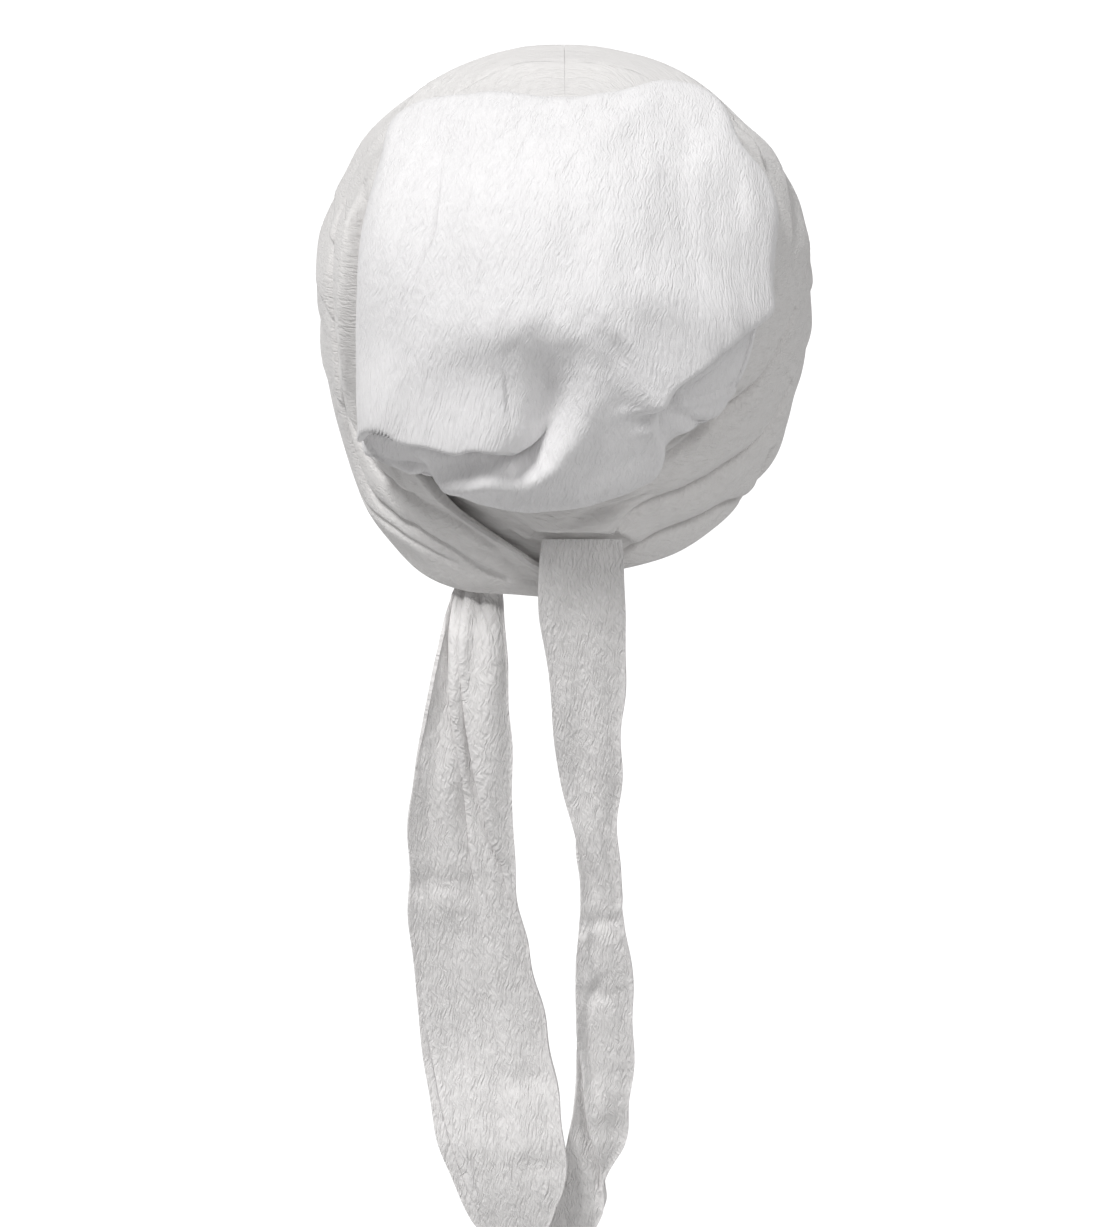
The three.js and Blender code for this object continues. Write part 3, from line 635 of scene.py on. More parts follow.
@dataclass
class Crown:
    """Slouched bag that hangs over the wraps at the back.

    Rows of the outline: clock direction, reach and droop of the edge in degrees, then its belly
    and the height of the wrap under it in mm. Rows of the dome: angle from the axis, then the
    height at the bottom and at the top. Rows of swells: strength, share of y, seed, wave length.
    row_shares is how many rows of the mesh fall between two knots of the profile.
    """

    outline: tuple[tuple[float, ...], ...] = (
        (0, 39, 6, 5.5, 9.8), (18, 44, 6, 5.5, 11), (30, 55, 6, 6, 12.2), (43, 57, 7, 6.5, 13.4),
        (54, 50, 6, 7, 13.6), (69, 51, 7, 7.5, 13.6), (86, 45.5, 7, 8, 13.3),
        (105, 43.5, 8, 8, 12.7), (120, 44.5, 9, 7, 12.3), (134, 44, 9, 7, 12.1),
        (147, 39.5, 9, 8, 11.8), (158, 42.8, 13, 10, 11.4), (172, 43.5, 15, 11, 11),
        (186, 45.2, 16, 11, 10.6), (200, 48, 16, 10, 10.4), (213, 51, 14, 7.5, 12.8),
        (223, 57.5, 14, 6.5, 16.4), (229, 60.5, 14, 6.5, 16.6), (237, 51.5, 9, 7, 16.6),
        (250, 46, 7, 8, 16.4), (265, 42.5, 4.5, 8, 16), (284, 43.8, 3.8, 7.5, 15.4),
        (300, 49.2, 4.2, 6.5, 14.4), (313, 57, 7, 6, 13.2), (333, 47, 6, 5.5, 11.6),
    )
    dome: tuple[tuple[float, float, float], ...] = (
        (0, 26, 26), (15, 26, 24), (30, 24.5, 18), (45, 22, 14.5), (65, 20, 13),
    )
    folds: tuple[Fold, ...] = (
        Fold("shoulder_left", FoldKind.RIDGE, 13.0, (
            (-39.1, -17.8, 0), (-34, -13, 3), (-29.6, -9.1, 3.5), (-22.5, -3.5, 3.5),
            (-18, 0.3, 3.5), (-10.6, 2, 3), (-4.1, 2.9, 2.5), (3.9, 3.7, 1),
        )),
        Fold("shoulder_right", FoldKind.RIDGE, 11.0, (
            (5.6, 3.5, 1), (10.6, 6.4, 2.5), (15, 7.2, 3), (23.3, 6, 3), (31.8, 3.3, 3),
            (37.8, 0.6, 2),
        )),
        Fold("left_flap", FoldKind.STEP, 13.0, (
            (-46.9, -25.8, 2.97, 2.9, 3.02), (-42.1, -23, 5.94, 5.8, 6.05),
            (-37.5, -19.9, 7.43, 10.15, 9.07), (-33.4, -18.1, 8.17, 13.05, 10.58),
            (-29.5, -19, 8.17, 11.6, 10.58), (-25.1, -18.9, 8.17, 10.15, 10.58),
            (-21, -19.5, 8.17, 10.15, 10.58), (-17.4, -19.8, 8.17, 10.88, 10.58),
            (-14.1, -18.9, 8.17, 11.6, 10.58), (-12, -19.7, 8.17, 11.6, 10.58),
            (-10.3, -21.1, 8.17, 11.6, 10.58), (-8.2, -22.7, 6.68, 10.15, 7.56),
            (-6, -20, 4.46, 5.8, 4.54), (-4.1, -18, 1.49, 1.45, 1.51),
        ), hollow=7.5),
        Fold("left_pocket", FoldKind.RIDGE, 6.0, (
            (-43, -25.9, -4.5), (-37.1, -25.1, -9), (-32, -24.8, -10.5), (-29, -26.3, -7.5),
            (-27.9, -29.1, -3),
        )),
        Fold("recess", FoldKind.RIDGE, 8.5, (
            (20.5, -13.4, -5.62), (25.7, -13.1, -9.38), (31.5, -11.4, -9.38), (37.4, -8.1, -7.5),
            (42, -3.9, -3.75),
        )),
        Fold("valley", FoldKind.RIDGE, 8.0, (
            (-7.5, -18.8, -4.05), (-4.9, -16.2, -8.1), (-2.9, -12.8, -8.78), (-2.4, -9.4, -8.1),
            (-3.1, -6.1, -6.08), (-4.5, -2.6, -3.38), (-6.4, 0.1, -0.68),
        )),
        Fold("right_flap", FoldKind.STEP, 13.0, (
            (15.2, -11.5, 1.7, 1.5, 1.72), (16.9, -10.3, 5.1, 6, 5.17),
            (18.3, -8.9, 6.8, 10.5, 8.62), (21.4, -6.9, 7.65, 13.5, 10.35),
            (24.7, -4.9, 7.65, 13.5, 10.35), (27.8, -3.1, 6.8, 12, 10.35),
            (30.6, -1.8, 5.95, 10.5, 8.62), (34.2, -0.8, 5.1, 7.5, 6.9),
            (38.9, 0.3, 3.4, 4.5, 3.45),
        ), hollow=11.0),
        Fold("lobe_side", FoldKind.STEP, 9.0, (
            (18.2, -26.2, 0.94, 1.1, 0.96), (18.8, -22.6, 2.34, 3.31, 1.92),
            (18.6, -19.3, 3.27, 4.42, 2.88), (17, -15.5, 3.74, 5.52, 2.88),
            (17, -12.3, 2.8, 4.42, 1.92), (17.6, -10.3, 0.94, 1.1, 0.96),
        ), hollow=6.0),
        Fold("right_ridge", FoldKind.RIDGE, 6.0, (
            (5.4, 4.5, 0.51), (7.9, 2.2, 3.06), (10.7, -1.1, 3.57), (12.7, -6.7, 3.57),
            (14.1, -11.3, 3.06), (14.9, -14.7, 1.02),
        )),
        Fold("ridge_hollow", FoldKind.RIDGE, 5.5, (
            (3.5, 3.8, -0.53), (5.4, 1.7, -3.19), (7.7, -1.7, -3.72), (9.3, -5.7, -3.19),
            (10.4, -9.5, -1.06),
        )),
        Fold("lobe_swell", FoldKind.RIDGE, 9.0, (
            (-24.7, -23.7, 1), (-19.9, -23.6, 3), (-14.1, -23.3, 3.5), (-8.7, -23.8, 3.5),
            (-4, -21.9, 3.5), (-0.4, -16.7, 3.5), (3.2, -10.9, 3), (6, -6.1, 1),
        )),
        Fold("lobe_pinch", FoldKind.RIDGE, 2.6, (
            (-12.3, -24, -0.3), (-9.2, -23.3, -1.6), (-6, -21.8, -1.6), (-2.9, -19.4, -0.3),
        )),
        Fold("lobe_crest", FoldKind.RIDGE, 4.6, (
            (-27.9, -30.7, 0.5), (-21.7, -27.7, 2.6), (-15.4, -25, 3.2), (-9.7, -23.3, 3),
            (-4.3, -21.5, 2.4), (-0.4, -17.7, 1.6), (2.5, -13.9, 0.3),
        )),
        Fold("lobe_groove", FoldKind.RIDGE, 4.0, (
            (-25.3, -26, -0.4), (-20.1, -23.2, -2), (-14.7, -22, -2.2), (-10.5, -22.1, -0.5),
        )),
        Fold("lobe_left", FoldKind.RIDGE, 3.6, (
            (-26.9, -19, 0.5), (-28.4, -21.9, 2.8), (-28.3, -24.8, 3), (-26, -27.7, 0.6),
        )),
        Fold("ridge_top", FoldKind.RIDGE, 5.0, (
            (-0.9, 2.4, 0.3), (3.1, 1.6, 2), (6.3, -1.3, 2.8), (9.2, -4.7, 2.6),
            (11.9, -8.3, 0.6),
        )),
        Fold("recess_a", FoldKind.RIDGE, 2.4, (
            (20.1, -13.3, 0.63), (25.2, -13.9, 3.36), (31.8, -13.8, 3.36), (37.1, -13.8, 1.05),
        )),
        Fold("recess_b", FoldKind.RIDGE, 2.4, (
            (20.3, -15.5, -0.55), (25.2, -17.7, -3.64), (29.5, -19.1, -2.73), (33, -18.7, -0.73),
        )),
        Fold("recess_c", FoldKind.RIDGE, 2.4, (
            (22.9, -11.5, -0.55), (28.4, -9.4, -2.91), (35.2, -6.9, -2.55), (39.6, -5.1, -0.55),
        )),
        Fold("pressed", FoldKind.STEP, 14.0, (
            (-27.1, 27.2, 0.26, 0.13, 0.26), (-25.9, 23.1, 1.3, 0.65, 1.56),
            (-24.9, 17.7, 1.69, 1.04, 2.08), (-26.1, 12.1, 1.69, 1.04, 2.08),
            (-28.2, 6.7, 1.69, 1.04, 2.08), (-30, 0.9, 1.43, 0.78, 1.82),
            (-31.5, -4, 0.26, 0.13, 0.26),
        ), hollow=12.0, near=1.0, lip=1.6),
        Fold("top_wrinkle", FoldKind.RIDGE, 5.0, (
            (-15.7, 38.5, -0.2), (-17.2, 33.5, -1.2), (-20.5, 30.4, -1.2), (-25.3, 28.4, -0.2),
        )),
        Fold("top_wrinkle_b", FoldKind.RIDGE, 5.0, (
            (15.6, 46.3, -0.3), (5.2, 43.1, -1.2), (-6.3, 41.6, -1.2), (-14.8, 39.5, -0.3),
        )),
        Fold("right_drape", FoldKind.RIDGE, 9.0, (
            (33.2, 37.1, -0.3), (25.8, 27.8, -1.4), (20.1, 18, -1.2), (17.5, 10.6, -0.3),
        )),
        Fold("middle_drape", FoldKind.RIDGE, 9.0, (
            (6.7, 28.9, -0.3), (3.6, 20.9, -1.2), (0.1, 13.2, -1.2), (-1.5, 7.2, -0.3),
        )),
    )
    wall: float = 1.1
    hem_height: float = 2.4
    hem_depth: float = 6.0
    shoulder_in: float = 9.0
    over_wrap: float = 1.0
    over_least: float = 0.9
    least: float = 5.0
    flat_width: float = 0.42
    mean_width: float = 0.36
    around: int = 300
    rows: int = 155
    row_shares: tuple[int, ...] = (0, 2, 2, 2, 3, 5, 5, 5, 7, 12, 46, 46, 14)
    swells: tuple[tuple[float, float, int, float], ...] = (
        (0.5, 0.6, 11, 46.0), (0.22, 0.35, 12, 15.0))

    def ring(self, index: int, clock: np.ndarray) -> np.ndarray:
        """Read one column of the outline, whose ends are joined.

        Args:
            index: Column to read.
            clock: Directions seen from behind, 0 up, in degrees.

        Returns:
            The column's values there.
        """
        rows = [(r[0] - 360, *r[1:]) for r in self.outline[-3:]]
        rows += list(self.outline)
        rows += [(r[0] + 360, *r[1:]) for r in self.outline[:3]]
        return column(rows, index, clock)

    def dome_height(self, clock: float, theta: float) -> float:
        """Height of the dome above the form.

        Args:
            clock: Direction seen from behind, 0 up, in degrees.
            theta: Angle from the axis in degrees.

        Returns:
            The height in mm.
        """
        top = (1 + math.cos(math.radians(clock))) / 2
        back = float(column(self.dome, 1, theta))
        return back + (float(column(self.dome, 2, theta)) - back) * top

    def profile(self, clock: float, places: np.ndarray) -> np.ndarray:
        """Profile of the bag at one clock direction, from its hem to its middle.

        Args:
            clock: Direction seen from behind, 0 up.
            places: Places counted in knots.

        Returns:
            Rows of map reach (mm) and height above the form (mm).
        """
        out, droop, belly, lie = (float(self.ring(k, clock)) for k in (1, 2, 3, 4))
        lie += self.over_wrap
        edge = out - droop
        inner = out - self.shoulder_in
        shoulder = max(self.dome_height(clock, inner), lie + belly + 1)
        knots = np.array([
            (edge + self.hem_depth, self.hem_height),
            (edge + 1, self.hem_height),
            (edge - 2.6, self.hem_height + 1.6),
            (edge - 3, (self.hem_height + lie) / 2),
            (edge - 0.6, lie + 0.9),
            (edge + (out - edge) * 0.55, lie + 0.6),
            (out - 1.6, lie + 0.8),
            (out, lie + belly * 0.45),
            (out - 2.4, lie + belly),
            (inner, shoulder),
            (inner * 0.66, self.dome_height(clock, inner * 0.66)),
            (inner * 0.33, self.dome_height(clock, inner * 0.33)),
            (0.0, self.dome_height(clock, 0)),
        ])
        knots[:, 0] *= MAP.per_degree
        return spline(knots, places)

    def build(self) -> bpy.types.Object:
        """Model the bag.

        Returns:
            The finished piece.
        """
        share = np.cumsum(self.row_shares)
        places = np.interp(np.linspace(0, share[-1], self.rows), share, np.arange(len(share)))
        turn = np.linspace(0, 360, 361)
        dense = np.cumsum(0.7 + 1.1 * smooth(turn, 60, 105) * (1 - smooth(turn, 240, 285)))
        even = np.linspace(dense[0], dense[-1], self.around + 1)
        clocks = np.interp(even, dense, turn)[::-1]
        profiles = np.stack([self.profile(clock % 360, places) for clock in clocks], axis=1)
        flat = MAP.flat(clocks[None, :], profiles[..., 0] / MAP.per_degree)
        act = np.repeat(smooth(places, 5.4, 7.6)[:, None], len(clocks), axis=1)
        direction, lift = fold_all(self.folds, MAP.direction(flat), act)
        x, y = flat[..., 0], flat[..., 1]
        for strength, share_of_y, seed, length in self.swells:
            lift += act * strength * waves(x, y * share_of_y, seed, length)
        height = profiles[..., 1] + lift
        turned = clocks[None, :] % 360
        edge = self.ring(1, turned) - self.ring(2, turned)
        lie = self.ring(4, turned) + self.over_wrap
        over = smooth(profiles[..., 0] / MAP.per_degree, edge - 4.0, edge - 0.5)
        ground = self.least + (lie + self.over_least - self.least) * over
        height = np.where(act > 0.5, np.maximum(height, ground), height)
        points = FORM.place(direction, height)
        uv = np.stack([x - 0.18 * y, y], axis=-1)
        mesh = grid_mesh(points, uv, join=True)
        for _ in range(2):
            bmesh.ops.smooth_vert(mesh, verts=mesh.verts, factor=0.4)
        bmesh.ops.dissolve_degenerate(mesh, dist=1e-7, edges=mesh.edges)
        bmesh.ops.recalc_face_normals(mesh, faces=mesh.faces)
        piece = finish_mesh("crown_bag", mesh, self.wall)
        area = cloth_area(piece)
        declare(piece, "crown", CROWN_FINISH,
                round(area, 4))
        return piece


@dataclass
class Wrap:
    """Pleated cloth from the front seam round one side to the nape.

    Rows of stations: share of the way round, azimuth and elevation of the rim, clock direction and
    angle from the axis of the upper edge, heights of the inner and outer face. Rows of creases:
    share of the way round, then three lines up the cloth. Rows of pleats: place up the cloth at
    the seam and further round, and the share of the way where the pleat ends.
    """

    name: str
    node: str
    stations: tuple[tuple[float, ...], ...]
    creases: tuple[tuple[float, ...], ...]
    folds: tuple[Fold, ...]
    seed: int
    mirrored: bool
    pleats: tuple[tuple[float, float, float], ...] = (
        (0.08, 0.15, 0.50), (0.17, 0.28, 0.54), (0.27, 0.40, 0.47), (0.38, 0.52, 0.56),
        (0.50, 0.64, 0.50), (0.64, 0.77, 0.55), (0.80, 0.89, 0.46),
    )
    pleat_rise: float = 1.7
    pleat_dip: float = 1.5
    pleat_lean: float = 2.2
    pleat_near: float = 1.3
    pleat_lip: float = 1.9
    pleat_reach: float = 13.0
    pleat_hollow: float = 6.0
    pleat_slide: float = 7.0
    crease_near: float = 0.03
    swell: float = 0.4
    swell_length: float = 26.0
    edge_height: float = 1.6
    least: float = 1.8
    per_radian: float = 105.0
    least_span: float = 20.0
    fold_step: float = 1.2
    edge_round: float = 0.05
    end_round: float = 0.006
    wall: float = 1.5
    flat_width: float = 0.30
    mean_width: float = 0.29
    along: int = 255
    across: int = 165

    def pleated(self, along: np.ndarray, up: np.ndarray, span: np.ndarray,
                height: np.ndarray) -> tuple[np.ndarray, np.ndarray]:
        """Lay the pleats, each lifted above its line and leaning down over it.

        Args:
            along: Shares of the way from the front seam to the nape, shape (rows, 1).
            up: Shares of the way from the rim to the upper edge, shape (1, columns).
            span: Width of the wrap in mm, shape (rows, columns).
            height: Heights above the form before the pleats, shape (rows, columns).

        Returns:
            The heights with the pleats, and the shares of the way up after their lean.
        """
        run = along * WRAP_RUN + 0 * up
        calm = smooth(along, 0.0, 0.05)
        moved = up + 0 * along
        for number, (start, stop, last) in enumerate(self.pleats):
            line = start + (stop - start) * smooth(along, 0.0, 0.5)
            line = line + calm * 0.010 * waves(run, 0 * run, self.seed + number, 70.0)
            swell = 1.0 + 0.35 * calm * waves(run, 0 * run, self.seed + 30 + number, 45.0)
            strength = swell * (1 - smooth(along, last - 0.16, last))
            gap = (up - line) * span - 0.8 * self.pleat_lean
            lifted = smooth(gap, -self.pleat_near, self.pleat_lip)
            ahead, behind = np.maximum(gap, 0), np.minimum(gap, 0)
            above = self.pleat_rise * lifted * np.exp(-((ahead / self.pleat_reach) ** 2))
            below = self.pleat_dip * (1 - lifted) * np.exp(-((behind / self.pleat_hollow) ** 2))
            height = height + strength * (above - below)
            slide = smooth(gap, -self.pleat_near, self.pleat_near)
            slide = slide * np.exp(-((ahead / self.pleat_slide) ** 2))
            moved = moved - strength * self.pleat_lean * slide / span
        return height, moved

    def build(self) -> bpy.types.Object:
        """Model the wrap.

        Returns:
            The finished piece.
        """
        ends = 1 - np.array([0.004, 0.0025, 0.0012, 0.0004, 0.0])
        along = np.concatenate([np.linspace(0, 0.994, self.along), ends])
        along = along[:, None]
        up = np.linspace(0, 1, self.across)[None, :]
        value = {name: column(self.stations, k, along) for k, name in enumerate(
            ("azimuth", "elevation", "clock", "theta", "under", "over"), start=1)}
        rim = from_back(value["azimuth"], value["elevation"])
        edge = MAP.direction(MAP.flat(value["clock"], value["theta"]))
        angle = np.arccos(np.clip(np.sum(rim * edge, axis=-1), -1, 1))
        run = along * WRAP_RUN + 0 * up
        span = np.maximum(angle * self.per_radian, self.least_span)
        calm = smooth(along, 0.0, 0.05)
        height, moved = self.pleated(along, up, span, value["over"] + 0 * up)
        for number in (1, 2, 3):
            gap = up - column(self.creases, number, along)
            step = smooth(gap, -self.crease_near, self.crease_near)
            height = height - self.fold_step * step * (1 - up)
        part = (np.sin((1 - moved) * angle)[..., None] * rim
                + np.sin(moved * angle)[..., None] * edge)
        direction = part / np.linalg.norm(part, axis=-1, keepdims=True)
        inside = smooth(np.minimum(up, 1 - up), 0.0, 0.06) + 0 * along
        direction, lift = fold_all(self.folds, direction, inside)
        wave = waves(run * 0.6, up * 120.0, self.seed + 7, self.swell_length)
        height = height + lift + calm * self.swell * wave
        height = np.maximum(height, value["under"] + self.least)
        end = np.clip(np.minimum(up, 1 - up) / self.edge_round, 0, 1)
        stop = np.clip((1 - along) / self.end_round, 0, 1)
        rounding = np.sqrt(1 - (1 - end) ** 2) * np.sqrt(1 - (1 - stop) ** 2)
        edge_level = value["under"] + self.edge_height
        height = edge_level + (height - value["under"] - self.edge_height) * rounding
        points = FORM.place(direction, height)
        uv = np.stack([up * np.degrees(angle) * 1.9, run], axis=-1)
        mesh = grid_mesh(points, uv)
        piece = finish_mesh(self.name, mesh, self.wall)
        if self.mirrored:
            piece.data.flip_normals()
        area = cloth_area(piece)
        declare(piece, self.node, WRAP_FINISH,
                round(area, 4))
        return piece


@dataclass(frozen=True)
class Crease:
    """One fold of a tail along rows (height, x, rise, dip, lean) in mm.

    side is 1 where the cloth on the right lies on top, -1 where the left does and 0 for a ridge,
    which has no dip and lean.
    """

    name: str
    side: int
    reach: float
    line: tuple[tuple[float, ...], ...]
    hollow: float = 4.0
    near: float = 0.8

    def act(self, x: np.ndarray, z: np.ndarray) -> tuple[np.ndarray, np.ndarray]:
        """Sideways shift and lift towards the viewer.

        Args:
            x: Places across the tail, one row per height.
            z: Heights, shape (rows, 1).

        Returns:
            The shifts in x and the lifts, shaped as x.
        """
        line = sorted(self.line)
        place, rise = (column(line, k, z) for k in (1, 2))
        low, high = line[0][0], line[-1][0]
        fade = smooth(z, low - 5, low + 1) * (1 - smooth(z, high - 1, high + 5))
        gap = x - place
        if self.side == 0:
            return 0 * gap, fade * rise * np.exp(-((gap / self.reach) ** 2))
        dip, lean = (column(line, k, z) for k in (3, 4))
        gap = self.side * gap - 0.8 * lean
        upper = np.exp(-((np.maximum(gap, 0.0) / self.reach) ** 2))
        lower = np.exp(-((np.minimum(gap, 0.0) / self.hollow) ** 2))
        lifted = smooth(gap, -self.near, 1.6 * self.near)
        lift = rise * lifted * upper - dip * (1 - lifted) * lower
        shift = -self.side * lean * smooth(gap, -self.near, self.near) * upper
        return fade * shift, fade * lift


@dataclass
class Tail:
    """Hanging tie, a row per height: left and right edge, depth, fold depth and turn."""

    name: str
    node: str
    table: tuple[tuple[float, ...], ...]
    folds: float
    creases: tuple[Crease, ...]
    dents: tuple[tuple[float, float, float, float, float], ...]
    seed: int
    rests_on: str
    fold_share: float = 0.4
    edge_wave: float = 0.55
    swell: float = 0.45
    ripple: float = 0.1
    hem: float = 0.5
    hem_width: float = 1.1
    wall: float = 1.4
    spare: float = 0.002
    rows: int = 330
    across: int = 84

    def build(self) -> bpy.types.Object:
        """Model the tail.

        Returns:
            The finished piece.
        """
        table = tuple(sorted(self.table))
        z = np.linspace(table[-1][0], table[0][0], self.rows)[:, None]
        part = np.linspace(0, 1, self.across)[None, :]
        left, right, depth, fold, turn = (column(table, k, z) for k in (1, 2, 3, 4, 5))
        left = left + self.edge_wave * waves(z, 0 * z, self.seed + 1, 38.0)
        right = right + self.edge_wave * waves(z, 0 * z, self.seed + 2, 34.0)
        x = left + (right - left) * part
        flat_x = x
        y = depth + turn * (1 - 2 * part)
        y = y - self.fold_share * fold * np.cos(2 * math.pi * self.folds * part)
        y = y + self.swell * waves(x, z * 0.3, self.seed, 15.0)
        y = y + self.ripple * waves(x + 0.12 * z, z * 0.12, self.seed + 3, 6.0)
        from_edge = np.minimum(x - left, right - x)
        y = y - self.hem * np.exp(-((from_edge / self.hem_width) ** 2))
        for height, middle, half, reach, sink in self.dents:
            y = y + sink * np.exp(-(((z - height) / reach) ** 2) - ((x - middle) / half) ** 2)
        for crease in self.creases:
            shift, lift = crease.act(flat_x, z)
            x = x + shift
            y = y - lift
        points = np.stack([x, y, z + 0 * part], axis=-1)
        uv = np.stack([flat_x + 0 * z, z + 0 * part], axis=-1)
        mesh = grid_mesh(points, uv)
        bmesh.ops.recalc_face_normals(mesh, faces=mesh.faces)
        piece = finish_mesh(self.name, mesh, self.wall)
        area = cloth_area(piece)
        declare(piece, self.node, TAIL_FINISH,
                round(area, 5))
        return piece


RIGHT_WRAP = Wrap(
    "right_wrap_cloth", "right_wrap",
    stations=(
        (0, 179.985, -10, 0.02, 33, 3.6, 9), (0.11, 150, -13, 13, 36.5, 3.6, 10),
        (0.258, 120, -22, 27, 47, 3.6, 11.5), (0.414, 92, -33, 46, 48.5, 3.6, 13),
        (0.552, 67, -41, 76, 41.5, 3.6, 13), (0.662, 48, -46, 105, 35.5, 3.6, 12),
        (0.754, 30, -48.6, 130, 34.5, 3.6, 11.5), (0.828, 14, -49.4, 153, 29, 3.6, 11),
        (0.883, -3, -49.4, 180, 29, 4.6, 9.8), (0.94, -22, -47.5, 203, 38.5, 4.4, 8.6),
        (1, -44, -45, 222, 46, 4, 7.2)),
    creases=(
        (0, 0.3, 0.55, 0.8), (0.414, 0.6, 0.78, 0.9), (0.552, 0.64, 0.82, 0.93),
        (0.662, 0.46, 0.68, 0.85), (0.764, 0.3, 0.54, 0.75), (0.828, 0.17, 0.33, 0.6),
        (0.865, 0.16, 0.31, 0.6), (0.888, 0.15, 0.3, 0.6), (1, 0.14, 0.3, 0.6)),
    folds=(
        Fold("right_top", FoldKind.RIDGE, 1.4, (
            (63.3, -3.4, -1.16), (51.7, -13.1, -5.1), (43.7, -18.1, -5.56), (36.9, -20.5, -5.56),
            (30.8, -23.1, -5.56), (24.4, -25.8, -5.56), (17.4, -29.3, -5.1), (11.1, -31, -4.63),
            (5.6, -31.7, -1.4),
        ), soft=0.55),
        Fold("right_mid", FoldKind.RIDGE, 1.4, (
            (67, -21, -1.16), (60.1, -27.8, -5.1), (53.7, -29.8, -5.56), (43, -32.5, -5.56),
            (35.7, -33.9, -5.56), (28.3, -35.3, -5.1), (20.7, -35.7, -4.63), (15.1, -37, -3.7),
            (11.9, -38, -1.16),
        ), soft=0.55),
        Fold("right_low", FoldKind.RIDGE, 1.4, (
            (61.7, -33.6, -1.16), (59.4, -42.7, -5.1), (44.7, -42.2, -5.1), (33.8, -42.3, -5.1),
            (23.8, -43, -4.63), (15.3, -44.5, -3.24), (13, -45.3, -1.16),
        ), soft=0.55),
        Fold("right_cross", FoldKind.RIDGE, 1.8, (
            (39.8, -16.1, -0.87), (34.4, -19.9, -3.47), (28, -22.1, -3.91), (22.5, -23.8, -2.6),
            (20.9, -25.5, -0.65),
        )),
        Fold("nape_a", FoldKind.RIDGE, 1.8, (
            (-18.4, -34.5, -0.78), (-13.1, -38.2, -3.12), (-6.6, -40.3, -3.51),
            (-1, -40.2, -3.12), (7.8, -39.5, -0.98),
        )),
        Fold("nape_b", FoldKind.RIDGE, 1.6, (
            (-13.5, -41, -0.78), (-7.9, -42.9, -2.93), (-2.2, -43.5, -0.98),
        )),
        Fold("nape_c", FoldKind.RIDGE, 1.8, (
            (-1, -36.9, -0.59), (6.3, -35, -2.73), (13.9, -34.8, -2.73), (20.7, -33.5, -0.59),
        )),
        Fold("nape_flap", FoldKind.STEP, 7.0, (
            (-7.3, -41.5, 0.5, 0.3, 0.5), (-4.7, -39.9, 3, 0.3, 2.5), (-1, -39.3, 4, 0.3, 3),
            (3.3, -38.8, 4.5, 0.3, 3), (7.6, -38.8, 4.5, 0.3, 3), (11.3, -39.6, 4.5, 0.3, 3),
            (13.3, -40.7, 3, 0.3, 2.5), (15.5, -42.5, 0.5, 0.3, 0.5),
        ), hollow=3.0, near=1.2, lip=2.4),
    ),
    seed=21, mirrored=False)

